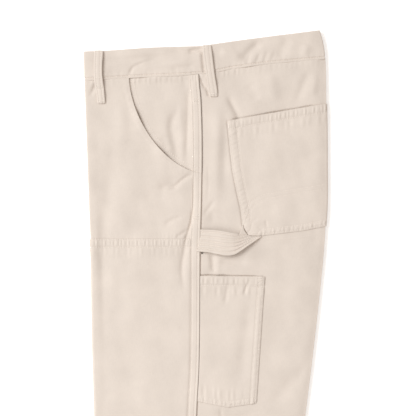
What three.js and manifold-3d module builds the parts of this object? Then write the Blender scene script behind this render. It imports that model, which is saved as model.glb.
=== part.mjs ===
// Canvas work pants, folded along the leg creases and laid on one side, with the left leg uppermost.
// All sizes are millimetres. X runs from the front crease to the back crease, Y from the hem to the
// waist, and Z up from the surface that the pants lie on. "down" is the distance below the highest
// point of the waistband, measured along the leg. The origin is under the middle of the outline.
//
// Each leg is a flattened tube of two panels, a front and a back. A panel starts at the side seam,
// runs out to its crease, turns round it and comes back as the inner layer. Below the fork the inner
// layer ends at the inseam. Above it, it ends at the rise seam, so the middle of the seat and of the
// fly is tucked in between the two sides.
import * as THREE from 'three';
import { mergeVertices } from 'three/addons/utils/BufferGeometryUtils.js';
import Module from 'manifold-3d';

const wasm = await Module();
wasm.setup();

// Driving dimensions
const LENGTH = 1083; // highest point of the waistband to the hem
const CLOTH = 1.2; // one layer of canvas
const BAND = 2.0; // the waistband, two layers
const SEAM = 0.3; // gap between sewn pieces
const CREASE_RADIUS = 2.4; // outside of a leg crease
const BAND_CREASE_RADIUS = 2.7; // outside of a waistband crease
const LEG_GAP = 0.45; // between the two legs
const LOWER_INSET = 1.0; // how far the lower leg's creases lie inside the upper leg's
const LOWER_HEM_INSET = 2; // how much further up its hem lies
const HEM_HEIGHT = 20; // turned-up hem
const HEM_RAISE = 0.9; // its extra thickness
const FELL_WIDTH = 12; // flat-felled side seam
const FELL_RAISE = 1.3; // its extra thickness
const FORK_DOWN = 305; // where the four panels meet
const SEAT_TUCK_X = 126; // centre back seam at the waist
const FLY_TUCK_X = -120; // centre front seam at the waist

// The outline, by distance down: the front crease, the side seam and the back crease of the upper leg
const OUTLINE = [
  { down: 0, front: -175.2, side: -13.0, back: 163.4 },
  { down: 18, front: -174.9, side: -12.3, back: 168.3 },
  { down: 40, front: -174.7, side: -11.4, back: 171.3 },
  { down: 72, front: -173.8, side: -10.0, back: 172.4 },
  { down: 100, front: -172.6, side: -7.4, back: 172.6 },
  { down: 141, front: -171.2, side: -6.0, back: 173.1 },
  { down: 182, front: -169.5, side: -5.7, back: 173.3 },
  { down: 243, front: -166.8, side: -6.5, back: 173.4 },
  { down: 283, front: -164.4, side: -7.6, back: 171.4 },
  { down: 321, front: -162.6, side: -8.5, back: 168.9 },
  { down: 380, front: -161.5, side: -8.7, back: 162.2 },
  { down: 440, front: -160.5, side: -9.1, back: 155.3 },
  { down: 489, front: -159.1, side: -10.2, back: 149.4 },
  { down: 538, front: -157.9, side: -12.9, back: 143.4 },
  { down: 640, front: -155.8, side: -16.5, back: 131.2 },
  { down: 760, front: -153.4, side: -20.6, back: 117.6 },
  { down: 900, front: -151.2, side: -25.2, back: 104.0 },
  { down: 1083, front: -148.5, side: -30.5, back: 89.5 },
];

// The waistband's upper edge and its seam to the panels, by distance across
const WAIST = [
  { x: -176, top: 30.6, seam: 72.3 },
  { x: -145, top: 29.4, seam: 70.2 },
  { x: -110, top: 27.0, seam: 68.0 },
  { x: -79, top: 24.8, seam: 66.4 },
  { x: -38, top: 23.3, seam: 64.8 },
  { x: -8, top: 22.3, seam: 62.6 },
  { x: 10, top: 20.0, seam: 60.4 },
  { x: 45, top: 14.9, seam: 53.8 },
  { x: 90, top: 9.0, seam: 47.9 },
  { x: 137, top: 3.4, seam: 43.8 },
  { x: 163.4, top: 0.0, seam: 41.6 },
  { x: 175, top: -1.4, seam: 40.9 },
];

// The largest folds in the upper side's cloth. Angle is from +X towards the hem, in degrees.
const FOLDS = [
  { name: 'front crease valley', x: -146, down: 350, angle: 90, length: 240, width: 12, height: -0.7 },
  { name: 'pocket end pull', x: -50, down: 217, angle: -20, length: 34, width: 9, height: -1.2 },
  { name: 'side seam pull', x: -29, down: 312, angle: 100, length: 55, width: 8, height: -1.1 },
  { name: 'hip valley', x: -44, down: 145, angle: 82, length: 38, width: 9, height: -0.9 },
  { name: 'seat pull', x: 39, down: 106, angle: 65, length: 24, width: 9, height: -0.9 },
  { name: 'back thigh valley', x: 26, down: 205, angle: 88, length: 70, width: 10, height: -0.7 },
  { name: 'seat hollow', x: 112, down: 88, angle: 95, length: 26, width: 12, height: -0.6 },
  { name: 'thigh hollow', x: 108, down: 452, angle: 150, length: 60, width: 20, height: -0.8 },
  { name: 'thigh swell', x: 120, down: 372, angle: 20, length: 50, width: 24, height: 0.7 },
  { name: 'knee front break', x: -95, down: 640, angle: 12, length: 46, width: 15, height: -0.9 },
  { name: 'knee back break', x: 62, down: 668, angle: -24, length: 52, width: 15, height: -1.1 },
  { name: 'calf swell', x: 40, down: 815, angle: 80, length: 80, width: 22, height: 0.8 },
  { name: 'shin valley', x: -80, down: 880, angle: 94, length: 95, width: 16, height: -0.8 },
  { name: 'ankle swell', x: -70, down: 1010, angle: 10, length: 60, width: 18, height: 0.6 },
];

// Heights of the cloth faces at a crease, and how far each settles towards the middle
const LOWER_LEG_TOP = 2 * CREASE_RADIUS;
const UPPER_LEG_BOTTOM = LOWER_LEG_TOP + LEG_GAP;
const UPPER_LEG_TOP = UPPER_LEG_BOTTOM + 2 * CREASE_RADIUS;
const BAND_LOWER_TOP = 2 * BAND_CREASE_RADIUS;
const BAND_UPPER_BOTTOM = BAND_LOWER_TOP + LEG_GAP;
const BAND_UPPER_TOP = BAND_UPPER_BOTTOM + 2 * BAND_CREASE_RADIUS;
const SETTLE = { reach: 60, inner: 1.9, outer: 2.0, torso: 1.0, bandInner: 1.15, bandOuter: 2.25 };

// Patches, straps and pockets
const PATCH_DOWN = 298; // upper edge of the reinforced front
const PATCH_LENGTH = 440;
const OPENING = { width: 104, drop: 136, power: 1.7 }; // curved front pocket opening, from the side seam
const FACING_TUCK = 18; // how far the hip facing runs under the front
const FACING_SLOPE = 9; // where it climbs to the side seam
const FACING_GAP = 0.45; // between it and the front
const BACK_POCKET = [
  { x: 31.3, down: 129.6 },
  { x: 54.0, down: 279.0 },
  { x: 61.8, down: 293.1 },
  { x: 82.0, down: 293.3 },
  { x: 111.0, down: 289.8 },
  { x: 141.0, down: 286.4 },
  { x: 190.0, down: 279.0 },
  { x: 190.0, down: 102.0 },
];
const TOOL_POCKET = [
  { x: -8.1, down: 351.2 },
  { x: -12.4, down: 530.4 },
  { x: 32.2, down: 539.2 },
  { x: 72.3, down: 533.2 },
  { x: 84.4, down: 352.6 },
];
const PATCH_TURN = 4; // how many of a crease's facets a patch turns round

// The hammer loop, from the side seam to the back pocket: its upper edge, middle and lower edge
const HAMMER_LOOP = [
  { upper: [-7.2, 285.0, 1.7], middle: [-8.0, 300.5, 1.7], lower: [-12.6, 316.0, 1.9] },
  { upper: [4.0, 285.4, 3.6], middle: [3.5, 301.0, 4.4], lower: [2.5, 317.2, 5.2] },
  { upper: [15.0, 286.1, 5.4], middle: [15.5, 303.0, 6.2], lower: [16.0, 320.0, 7.0] },
  { upper: [26.0, 287.8, 6.0], middle: [27.5, 305.0, 7.0], lower: [29.0, 322.4, 7.6] },
  { upper: [37.0, 289.8, 5.6], middle: [39.0, 306.0, 6.9], lower: [40.0, 321.2, 7.5] },
  { upper: [43.5, 291.0, 4.6], middle: [46.5, 304.4, 6.0], lower: [49.0, 316.4, 7.0] },
  { upper: [48.3, 291.3, 3.4], middle: [52.0, 301.3, 5.0], lower: [58.0, 310.0, 6.0] },
  { upper: [50.6, 285.4, 1.9], middle: [57.0, 297.2, 3.4], lower: [69.0, 302.4, 4.2] },
  { upper: [52.8, 279.0, 0.8], middle: [61.4, 293.6, 1.2], lower: [80.4, 294.2, 1.6] },
];
const STRAP = 1.8; // thickness of the loops
const LOOP_FOOT = 0.6; // clearance under a belt loop's sewn ends
const LOOP_ROWS = 13;

// The belt loops by distance down: the middle of the loop, its width, and how far it bows out
const BELT_LOOP_FRONT = [
  { down: 29.6, x: -153.0, width: 12.0, rise: 0.0 },
  { down: 38.0, x: -153.3, width: 12.0, rise: 1.9 },
  { down: 47.4, x: -153.7, width: 11.4, rise: 2.2 },
  { down: 62.1, x: -153.8, width: 11.4, rise: 1.2 },
  { down: 75.7, x: -152.6, width: 11.6, rise: 0.7 },
  { down: 83.1, x: -151.6, width: 12.0, rise: 0.2 },
  { down: 92.9, x: -150.2, width: 10.8, rise: 0.9 },
  { down: 104.2, x: -149.2, width: 11.0, rise: 0.0 },
];
const BELT_LOOP_SIDE = [
  { down: 21.6, x: 1.6, width: 12.0, rise: 0.0 },
  { down: 25.2, x: 1.9, width: 12.0, rise: 0.6 },
  { down: 43.7, x: 4.0, width: 12.4, rise: 1.1 },
  { down: 55.0, x: 5.4, width: 12.2, rise: 1.2 },
  { down: 65.8, x: 7.0, width: 12.0, rise: 1.1 },
  { down: 76.0, x: 8.6, width: 12.2, rise: 0.9 },
  { down: 86.0, x: 10.1, width: 12.4, rise: 0.6 },
  { down: 94.2, x: 11.2, width: 11.4, rise: 0.0 },
];

const CANVAS = { color: 0xe6d9cb, roughness: 0.92, metalness: 0 };
const CANVAS_LIGHT = { color: 0xeee4d7, roughness: 0.9, metalness: 0 };

// Small maths
const radians = (degrees) => (degrees * Math.PI) / 180;
const mix = (a, b, t) => a + (b - a) * t;
const smooth = (t) => {
  const c = Math.min(1, Math.max(0, t));
  return c * c * (3 - 2 * c);
};
const steps = (from, to, count) => Array.from({ length: count }, (_, i) => mix(from, to, i / (count - 1)));

// A column of a table at a value of its key column, through the rows in a smooth curve
function lookUp(table, key, column, value) {
  const at = Math.min(Math.max(value, table[0][key]), table.at(-1)[key]);
  const i = Math.max(1, table.findIndex((row) => row[key] >= at));
  const [a, b] = [table[i - 1], table[i]];
  const before = table[i - 2] ?? a;
  const after = table[i + 1] ?? b;
  const span = b[key] - a[key];
  const slopeA = ((b[column] - before[column]) / (b[key] - before[key])) * span;
  const slopeB = ((after[column] - a[column]) / (after[key] - a[key])) * span;
  const t = (at - a[key]) / span;
  const [t2, t3] = [t * t, t * t * t];
  return (2 * t3 - 3 * t2 + 1) * a[column] + (t3 - 2 * t2 + t) * slopeA
    + (3 * t2 - 2 * t3) * b[column] + (t3 - t2) * slopeB;
}
const frontCrease = (down) => lookUp(OUTLINE, 'down', 'front', down);
const backCrease = (down) => lookUp(OUTLINE, 'down', 'back', down);
const sideSeam = (down) => lookUp(OUTLINE, 'down', 'side', down);
const bandTop = (x) => lookUp(WAIST, 'x', 'top', x);
const bandSeam = (x) => lookUp(WAIST, 'x', 'seam', x);

// How settled the cloth is at a point: 0 at a crease, 1 in the middle
function settled(x, down, radius, start = 0, reach = SETTLE.reach) {
  const fromFront = x - frontCrease(down) - radius;
  const fromBack = backCrease(down) - radius - x;
  return smooth((fromFront - start) / reach) * smooth((fromBack - start) / reach);
}

// The folds' height at a point of the upper side
function foldHeight(x, down) {
  const height = FOLDS.reduce((sum, fold) => {
    const [c, s] = [Math.cos(radians(fold.angle)), Math.sin(radians(fold.angle))];
    const along = ((x - fold.x) * c + (down - fold.down) * s) / fold.length;
    const across = (-(x - fold.x) * s + (down - fold.down) * c) / fold.width;
    return sum + fold.height * Math.exp(-along * along - across * across);
  }, 0);
  return height * settled(x, down, CREASE_RADIUS, 0, 14);
}

// Height of the upper side's outer face: it sinks a little where only two layers lie in the torso
const torso = (down) => 1 - smooth((down - 230) / 120);
const torsoSink = (x, down) => torso(down) * settled(x, down, CREASE_RADIUS, 50, 70);
const panelTop = (x, down) => UPPER_LEG_TOP - SETTLE.outer * settled(x, down, CREASE_RADIUS)
  - SETTLE.torso * torsoSink(x, down) + foldHeight(x, down);
const bandFace = (x, down) => BAND_UPPER_TOP - SETTLE.bandOuter * settled(x, down, BAND_CREASE_RADIUS)
  - SETTLE.torso * torsoSink(x, down);

// One side of the pants as faces: where the outer and inner layers lie, and which way is out
const UPPER = {
  out: 1, inset: 0, hemInset: 0, bandGap: SEAM,
  radius: CREASE_RADIUS, centre: UPPER_LEG_TOP - CREASE_RADIUS,
  outer: panelTop,
  inner: (x, down) => UPPER_LEG_BOTTOM
    - SETTLE.inner * smooth(depthIn(x, down, CREASE_RADIUS) / SETTLE.reach),
};
const LOWER = {
  out: -1, inset: LOWER_INSET, hemInset: LOWER_HEM_INSET, bandGap: 2 * SEAM,
  radius: CREASE_RADIUS, centre: CREASE_RADIUS,
  outer: () => 0,
  inner: (x, down) => LOWER_LEG_TOP
    - SETTLE.inner * smooth(depthIn(x, down, CREASE_RADIUS) / SETTLE.reach),
};
const UPPER_BAND = {
  ...UPPER, radius: BAND_CREASE_RADIUS, centre: BAND_UPPER_TOP - BAND_CREASE_RADIUS, outer: bandFace,
  inner: (x, down) => BAND_UPPER_BOTTOM
    - (SETTLE.bandInner + 0.05) * smooth(depthIn(x, down, BAND_CREASE_RADIUS) / SETTLE.reach),
};
const LOWER_BAND = {
  ...LOWER, radius: BAND_CREASE_RADIUS, centre: BAND_CREASE_RADIUS,
  inner: (x, down) => BAND_LOWER_TOP
    - SETTLE.bandInner * smooth(depthIn(x, down, BAND_CREASE_RADIUS) / SETTLE.reach),
};
function depthIn(x, down, radius) {
  return Math.max(0, Math.min(x - frontCrease(down), backCrease(down) - x) - radius);
}

// A point on a side's skin, moved out by lift. A column is an x on the outer or inner layer, or an angle
// on the crease, +90 at the outer layer and -90 at the inner one. hand is -1 at the front, +1 at the back.
function skin(side, hand, column, down, lift) {
  const crease = hand < 0 ? frontCrease(down) + side.inset : backCrease(down) - side.inset;
  const centreX = crease - hand * side.radius;
  if (column.layer === 'crease') {
    const a = radians(column.angle);
    const r = side.radius + lift;
    return [centreX + hand * r * Math.cos(a), down, side.centre + side.out * r * Math.sin(a)];
  }
  const x = mix(column.from(down), centreX, column.share);
  const z = column.layer === 'outer'
    ? side.outer(x, down) + side.out * lift
    : side.inner(x, down) - side.out * lift;
  return [x, down, z];
}

// Columns of a panel's grid. An outer or inner column lies a share of the way from a seam to the crease.
const acrossLayer = (layer, from, shares) => shares.map((share) => ({ layer, from, share }));
const roundCrease = (from, to, count) => (
  steps(from, to, count).map((angle) => ({ layer: 'crease', angle })));

// A closed solid from two grids of points: an outer face, an inner face and the four edges between them
function wall(outer, inner) {
  const [rows, columns] = [outer.length, outer[0].length];
  const points = [...outer.flat(), ...inner.flat()].map(([x, down, z]) => [x, LENGTH / 2 - down, z]);
  const at = (face, i, j) => face * rows * columns + i * columns + j;
  const faces = [];
  const quad = (a, b, c, d) => faces.push([a, b, c], [a, c, d]);
  for (let i = 0; i < rows - 1; i += 1) {
    for (let j = 0; j < columns - 1; j += 1) {
      quad(at(0, i, j), at(0, i, j + 1), at(0, i + 1, j + 1), at(0, i + 1, j));
      quad(at(1, i, j), at(1, i + 1, j), at(1, i + 1, j + 1), at(1, i, j + 1));
    }
  }
  for (let j = 0; j < columns - 1; j += 1) {
    quad(at(0, 0, j), at(1, 0, j), at(1, 0, j + 1), at(0, 0, j + 1));
    quad(at(0, rows - 1, j), at(0, rows - 1, j + 1), at(1, rows - 1, j + 1), at(1, rows - 1, j));
  }
  const last = columns - 1;
  for (let i = 0; i < rows - 1; i += 1) {
    quad(at(0, i, 0), at(0, i + 1, 0), at(1, i + 1, 0), at(1, i, 0));
    quad(at(0, i, last), at(1, i, last), at(1, i + 1, last), at(0, i + 1, last));
  }
  return facingOut(points, faces);
}

// A geometry whose faces point out, whichever way its grid ran
function facingOut(points, faces) {
  const volume = faces.reduce((sum, [a, b, c]) => {
    const [p, q, r] = [points[a], points[b], points[c]].map((v) => new THREE.Vector3(...v));
    return sum + p.dot(q.cross(r));
  }, 0);
  const turned = volume < 0 ? faces.map(([a, b, c]) => [a, c, b]) : faces;
  const geometry = new THREE.BufferGeometry();
  geometry.setAttribute('position', new THREE.Float32BufferAttribute(points.flat(), 3));
  geometry.setIndex(turned.flat());
  return geometry;
}

// Between three.js and manifold-3d
function toSolid(geometry) {
  const bare = geometry.clone();
  bare.deleteAttribute('normal');
  bare.deleteAttribute('uv');
  const merged = mergeVertices(bare, 1e-4);
  return new wasm.Manifold(new wasm.Mesh({
    numProp: 3,
    vertProperties: merged.attributes.position.array,
    triVerts: new Uint32Array(merged.index.array),
  }));
}
function toGeometry(solid) {
  const mesh = solid.getMesh();
  const geometry = new THREE.BufferGeometry();
  geometry.setAttribute('position', new THREE.BufferAttribute(mesh.vertProperties, 3));
  geometry.setIndex(new THREE.BufferAttribute(mesh.triVerts, 1));
  return geometry;
}

// An upright block over an outline of {x, down} points, for cutting cloth to shape
const BLOCK_HEIGHT = 60;
function block(outline) {
  const shape = new THREE.Shape(outline.map(({ x, down }) => new THREE.Vector2(x, LENGTH / 2 - down)));
  const geometry = new THREE.ExtrudeGeometry(shape, { depth: BLOCK_HEIGHT, bevelEnabled: false });
  geometry.translate(0, 0, -BLOCK_HEIGHT / 2);
  return toSolid(geometry);
}
const cutOut = (geometry, outline) => toGeometry(toSolid(geometry).subtract(block(outline)));
const cutTo = (geometry, outline) => toGeometry(toSolid(geometry).intersect(block(outline)));

// Rows of a panel's grid: they start along the waistband seam and level out further down
const ROW_START = 70;
const ROW_FADE = 150;
const ROWS_SEEN = steps(ROW_START, 560, 25);
const ROWS_BELOW = [600, 645, 690, 738, 800, 865, 935, 1005];
const HEM_ROWS = [LENGTH - HEM_HEIGHT - 0.8, LENGTH - HEM_HEIGHT, LENGTH];
const UPPER_ROWS = [...ROWS_SEEN, ...ROWS_BELOW, ...HEM_ROWS];
const CREASE_STEPS = 6;
const INNER_SHARES = [1, 0.8, 0.6, 0.35, 0]; // from the crease to the seam
const LOWER_ROWS = [
  ROW_START, 110, 150, 185, 215, 245, 270, 288, 305, 380, 470, 560, 680, 800, 940, LENGTH,
];
const rowDown = (base, x, gap = SEAM) => (
  base + (bandSeam(x) + gap - ROW_START) * Math.max(0, 1 - (base - ROW_START) / ROW_FADE));

// Seams that the inner layers end at: the rise above the fork, and the inseam below it
function innerEnd(hand, down) {
  const inseam = sideSeam(Math.max(down, FORK_DOWN)) + 2;
  const [tuck, straight, power] = hand < 0 ? [FLY_TUCK_X, 165, 2.4] : [SEAT_TUCK_X, 115, 2.0];
  const rise = Math.max(0, Math.min(1, (down - straight) / (FORK_DOWN - straight)));
  return mix(tuck, inseam, rise ** power) + hand * SEAM / 2;
}
const outerStart = (hand) => (down) => sideSeam(down) + hand * SEAM / 2;

// Extra thickness of a panel's outer points: the felled side seam on the front, and the hem
function raise(hand, x, down) {
  const fromSeam = sideSeam(down) - x;
  const fell = hand < 0 ? FELL_RAISE * Math.max(0, Math.min(1, (FELL_WIDTH + 0.6 - fromSeam) / 0.6)) : 0;
  const hem = HEM_RAISE * Math.max(0, Math.min(1, (down - (LENGTH - HEM_HEIGHT - 0.8)) / 0.8));
  return Math.max(fell, hem);
}

// A front or back panel: its outer layer, the crease and its inner layer in one wall
function panel(side, hand) {
  const isUpper = side.out > 0;
  const fellShare = (width) => (down) => outerStart(hand)(down) + hand * width;
  const fell = hand < 0 && isUpper
    ? [outerStart(hand), fellShare(FELL_WIDTH - 0.15)].map((from) => ({ layer: 'outer', from, share: 0 }))
    : [{ layer: 'outer', from: outerStart(hand), share: 0 }];
  const pastFell = hand < 0 ? fellShare(FELL_WIDTH + 0.45) : fellShare(FELL_WIDTH);
  const outerShares = steps(0, 1, isUpper ? 12 : 5);
  const columns = [
    ...fell,
    ...acrossLayer('outer', pastFell, outerShares),
    ...roundCrease(90, -90, CREASE_STEPS).slice(1),
    ...acrossLayer('inner', (down) => innerEnd(hand, down), INNER_SHARES.slice(1)),
  ];
  const bases = isUpper ? UPPER_ROWS : LOWER_ROWS;
  const grid = (face) => bases.map((base) => columns.map((column) => {
    const onLine = (guess) => Math.min(rowDown(base, guess, side.bandGap), LENGTH - side.hemInset);
    const [x] = skin(side, hand, column, base, 0);
    const [nearer] = skin(side, hand, column, onLine(x), 0);
    const down = onLine(nearer);
    if (face === 'inner') return skin(side, hand, column, down, -CLOTH);
    const raised = isUpper && column.layer === 'outer' ? raise(hand, nearer, down) : 0;
    return skin(side, hand, column, down, raised);
  }));
  return wall(grid('outer'), grid('inner'));
}

// A sheet of cloth that lies on a panel of the upper side, cut to an outline. It is made from the
// panel's own points, moved out.
function patch(hand, outline, turn = 0, lift = SEAM) {
  const start = (down) => outerStart(hand)(down) + (hand < 0 ? -FELL_WIDTH - 0.45 : SEAM);
  const columns = [
    ...acrossLayer('outer', start, steps(0, 1, 12)),
    ...roundCrease(90, -90, CREASE_STEPS).slice(1, turn + 1),
  ];
  const grid = (moved) => UPPER_ROWS.map((base) => columns.map((column) => {
    const [x] = skin(UPPER, hand, column, base, 0);
    return skin(UPPER, hand, column, Math.min(rowDown(base, x), LENGTH), moved);
  }));
  return cutTo(wall(grid(lift + CLOTH), grid(lift)), outline);
}

// The curved edge of the front pocket, from the waistband seam to the side seam, grown by some width
function openingEdge(grow, count) {
  return steps(0, 90, count).map((angle) => {
    const [c, s] = [Math.cos(radians(angle)), Math.sin(radians(angle))];
    const across = (OPENING.width + grow) * c ** (2 / OPENING.power);
    return { x: -6 - across, down: 68 + OPENING.drop * s ** (2 / OPENING.power) };
  });
}
const OPENING_POINTS = 15;
const pocketOpening = [{ x: 10, down: 40 }, ...openingEdge(0, OPENING_POINTS), { x: 10, down: 203.5 }];
pocketOpening.splice(1, 0, { x: pocketOpening[1].x, down: 40 });

// The hip facing behind the opening. It lies one cloth below the front and climbs to the felled seam.
function hipFacing() {
  const edge = (down) => sideSeam(down) - SEAM / 2;
  const offsets = [0, FELL_WIDTH, FELL_WIDTH + 0.6, FELL_WIDTH + FACING_SLOPE];
  const reach = OPENING.width + FACING_TUCK + 4;
  const across = [...offsets, ...steps(FELL_WIDTH + FACING_SLOPE, reach, 9).slice(1)];
  const bases = steps(70, 210, 10);
  const under = -CLOTH - FACING_GAP;
  const level = (offset) => {
    if (offset <= FELL_WIDTH) return FELL_RAISE;
    return mix(0, under, Math.min(1, (offset - FELL_WIDTH - 0.6) / (FACING_SLOPE - 0.6)));
  };
  const grid = (moved) => bases.map((base) => across.map((offset) => {
    const down = rowDown(base, edge(base) - offset);
    const x = edge(down) - offset;
    return [x, down, panelTop(x, down) + level(offset) + moved];
  }));
  const inset = FELL_WIDTH + FACING_SLOPE + 1;
  const hidden = openingEdge(FACING_TUCK, 2 * OPENING_POINTS).filter(({ x }) => x < -6 - inset);
  const shown = openingEdge(0, 3 * OPENING_POINTS).filter(({ x }) => x >= -6 - inset);
  const outline = [
    { x: 10, down: 40 },
    { x: hidden[0].x, down: 40 },
    ...hidden,
    ...shown.map(({ x, down }) => ({ x, down: down - 0.5 })),
    { x: 10, down: 203.0 },
  ];
  return cutTo(wall(grid(0), grid(-CLOTH)), outline);
}

// Half of the waistband, from the fly round both creases to the centre back
function waistband(side) {
  const middle = (down) => sideSeam(down);
  const half = (hand, end) => [
    ...acrossLayer('outer', middle, steps(0, 1, 8)),
    ...roundCrease(90, -90, 7).slice(1),
    ...acrossLayer('inner', () => end + hand * SEAM / 2, steps(1, 0, 4)).slice(1),
  ].map((column) => ({ ...column, hand }));
  const columns = [...half(-1, FLY_TUCK_X).reverse(), ...half(1, SEAT_TUCK_X).slice(1)];
  const grid = (lift) => [0, 0.33, 0.67, 1].map((share) => columns.map((column) => {
    const edge = (x) => mix(bandTop(x), bandSeam(x), share);
    const guess = column.hand < 0 ? 51 : 20;
    const [x] = skin(side, column.hand, column, guess, 0);
    const [nearer] = skin(side, column.hand, column, edge(x), 0);
    return skin(side, column.hand, column, edge(nearer), lift);
  }));
  return wall(grid(0), grid(-BAND));
}

// A belt loop, sewn at its two ends and bowed out between them
function beltLoop(table) {
  const section = (down, lift) => {
    const [x, width, rise] = ['x', 'width', 'rise'].map((column) => lookUp(table, 'down', column, down));
    const onPanel = smooth((down - bandSeam(x) - 3) / 18);
    const face = mix(bandFace(x, down), panelTop(x, down), onPanel);
    return steps(-width / 2, width / 2, 3).map((offset) => (
      [x + offset, down, face + LOOP_FOOT + rise + lift]));
  };
  const rows = steps(table[0].down, table.at(-1).down, LOOP_ROWS);
  return wall(rows.map((down) => section(down, STRAP)), rows.map((down) => section(down, 0)));
}

// The hammer loop, through its three lines of points
function hammerLoop() {
  const station = ({ upper, middle, lower }, lift) => steps(0, 1, 5).map((t) => {
    const [a, b, c] = [(1 - t) * (1 - 2 * t), 4 * t * (1 - t), t * (2 * t - 1)];
    const [x, down, above] = [0, 1, 2].map((k) => a * upper[k] + b * middle[k] + c * lower[k]);
    return [x, down, panelTop(x, down) + above + lift];
  });
  return wall(HAMMER_LOOP.map((row) => station(row, STRAP)), HAMMER_LOOP.map((row) => station(row, 0)));
}

// The reinforced front's outline: from the felled seam round the front crease
function frontPatchOutline() {
  const foot = PATCH_DOWN + PATCH_LENGTH;
  const besideFell = steps(PATCH_DOWN, foot, 9).map((down) => (
    { x: sideSeam(down) - FELL_WIDTH - 1.2, down }));
  return [...besideFell, { x: -190, down: foot }, { x: -190, down: PATCH_DOWN }];
}

// The tool pocket's outline, kept just off the felled seam
const toolPocketOutline = TOOL_POCKET.map(({ x, down }) => (
  { x: Math.max(x, sideSeam(down) + SEAM), down }));

const pants = new THREE.Group();
pants.name = 'work_pants';
function add(name, geometry, look = CANVAS) {
  const mesh = new THREE.Mesh(geometry, new THREE.MeshStandardMaterial(look));
  mesh.name = name;
  pants.add(mesh);
}

add('left_front', cutOut(panel(UPPER, -1), pocketOpening));
add('left_back', panel(UPPER, 1));
add('right_front', panel(LOWER, -1));
add('right_back', panel(LOWER, 1));
add('waistband_left', waistband(UPPER_BAND));
add('waistband_right', waistband(LOWER_BAND));
add('hip_facing', hipFacing());
add('front_patch', patch(-1, frontPatchOutline(), PATCH_TURN));
add('back_pocket', patch(1, BACK_POCKET, PATCH_TURN), CANVAS_LIGHT);
add('tool_pocket', patch(1, toolPocketOutline), CANVAS_LIGHT);
add('hammer_loop', hammerLoop(), CANVAS_LIGHT);
add('belt_loop_front', beltLoop(BELT_LOOP_FRONT), CANVAS_LIGHT);
add('belt_loop_side', beltLoop(BELT_LOOP_SIDE), CANVAS_LIGHT);

export default pants;
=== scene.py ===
"""Canvas work pants, folded along the leg creases and laid flat: cloth, stitching, floor, light, camera.

Each cloth solid of the frame is replaced by a finer thin shell on the same form. A point of the cloth is
given by x across the pants and by "down", the distance below the highest point of the waistband. Both are
in millimetres, and so is everything else until a mesh is made.
"""
import math
from functools import partial

import bpy
import numpy as np
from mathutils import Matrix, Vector
from mathutils.bvhtree import BVHTree


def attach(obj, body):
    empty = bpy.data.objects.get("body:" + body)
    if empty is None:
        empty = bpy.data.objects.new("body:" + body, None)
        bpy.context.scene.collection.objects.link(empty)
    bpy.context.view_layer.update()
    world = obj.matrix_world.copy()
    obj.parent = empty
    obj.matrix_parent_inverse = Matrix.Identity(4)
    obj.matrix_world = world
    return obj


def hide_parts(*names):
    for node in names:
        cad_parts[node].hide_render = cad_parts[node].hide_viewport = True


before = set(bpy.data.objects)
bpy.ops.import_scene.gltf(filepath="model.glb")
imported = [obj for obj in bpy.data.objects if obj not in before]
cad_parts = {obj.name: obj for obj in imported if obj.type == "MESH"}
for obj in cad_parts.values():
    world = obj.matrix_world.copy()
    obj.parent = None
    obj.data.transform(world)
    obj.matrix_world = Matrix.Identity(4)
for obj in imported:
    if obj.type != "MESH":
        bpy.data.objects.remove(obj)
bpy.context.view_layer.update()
MM = 0.001

# The cloth's form, as in the frame
LENGTH = 1083.0
CLOTH = 1.2
BAND = 2.0
SEAM = 0.3
CREASE_RADIUS = 2.4
BAND_CREASE_RADIUS = 2.7
LEG_GAP = 0.45
LOWER_INSET = 1.0
LOWER_HEM_INSET = 2.0
HEM_HEIGHT = 20.0
HEM_RAISE = 0.9
FELL_WIDTH = 12.0
FELL_RAISE = 1.3
FORK_DOWN = 305.0
SEAT_TUCK_X = 126.0
FLY_TUCK_X = -120.0
ROW_START = 70.0
ROW_FADE = 150.0

OUTLINE = {
    "down": [0, 18, 40, 72, 100, 141, 182, 243, 283, 321, 380, 440, 489, 538, 640, 760, 900, 1083],
    "front": [-175.2, -174.9, -174.7, -173.8, -172.6, -171.2, -169.6, -167.4, -165.8, -163.9,
              -162.7, -161.7, -160.2, -158.8, -156.2, -153.4, -151.2, -148.5],
    "side": [-13.0, -12.3, -11.4, -10.0, -7.4, -6.0, -5.7, -6.5, -7.6, -8.5,
             -8.7, -9.1, -10.2, -12.9, -16.5, -20.6, -25.2, -30.5],
    "back": [163.4, 168.3, 171.3, 172.4, 172.6, 173.1, 173.3, 173.4, 171.4, 168.9,
             163.0, 156.4, 150.6, 144.4, 131.6, 117.6, 104.0, 89.5],
}
WAIST = {
    "x": [-176, -145, -110, -79, -38, -8, 10, 45, 90, 137, 163.4, 175],
    "top": [30.6, 29.4, 27.0, 24.8, 23.3, 22.3, 20.0, 14.9, 9.0, 3.4, 0.0, -1.4],
    "seam": [72.3, 70.2, 68.0, 66.4, 64.8, 62.6, 60.4, 53.8, 47.9, 43.8, 41.6, 40.9],
}

# The broad folds, as in the frame: x, down, angle from +X towards the hem, length, width, height
FOLDS = [
    (-146, 350, 90, 240, 12, -0.7),
    (-50, 217, -20, 34, 9, -1.2),
    (-29, 312, 100, 55, 8, -1.1),
    (-44, 145, 82, 38, 9, -0.9),
    (39, 106, 65, 24, 9, -0.9),
    (26, 198, 88, 54, 10, -0.6),
    (112, 88, 95, 26, 12, -0.4),
    (108, 452, 150, 60, 20, -0.5),
    (120, 372, 20, 50, 24, 0.7),
    (-95, 640, 12, 46, 15, -0.9),
    (62, 668, -24, 52, 15, -1.1),
    (40, 815, 80, 80, 22, 0.8),
    (-80, 880, 94, 95, 16, -0.8),
    (-70, 1010, 10, 60, 18, 0.6),
]

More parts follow.
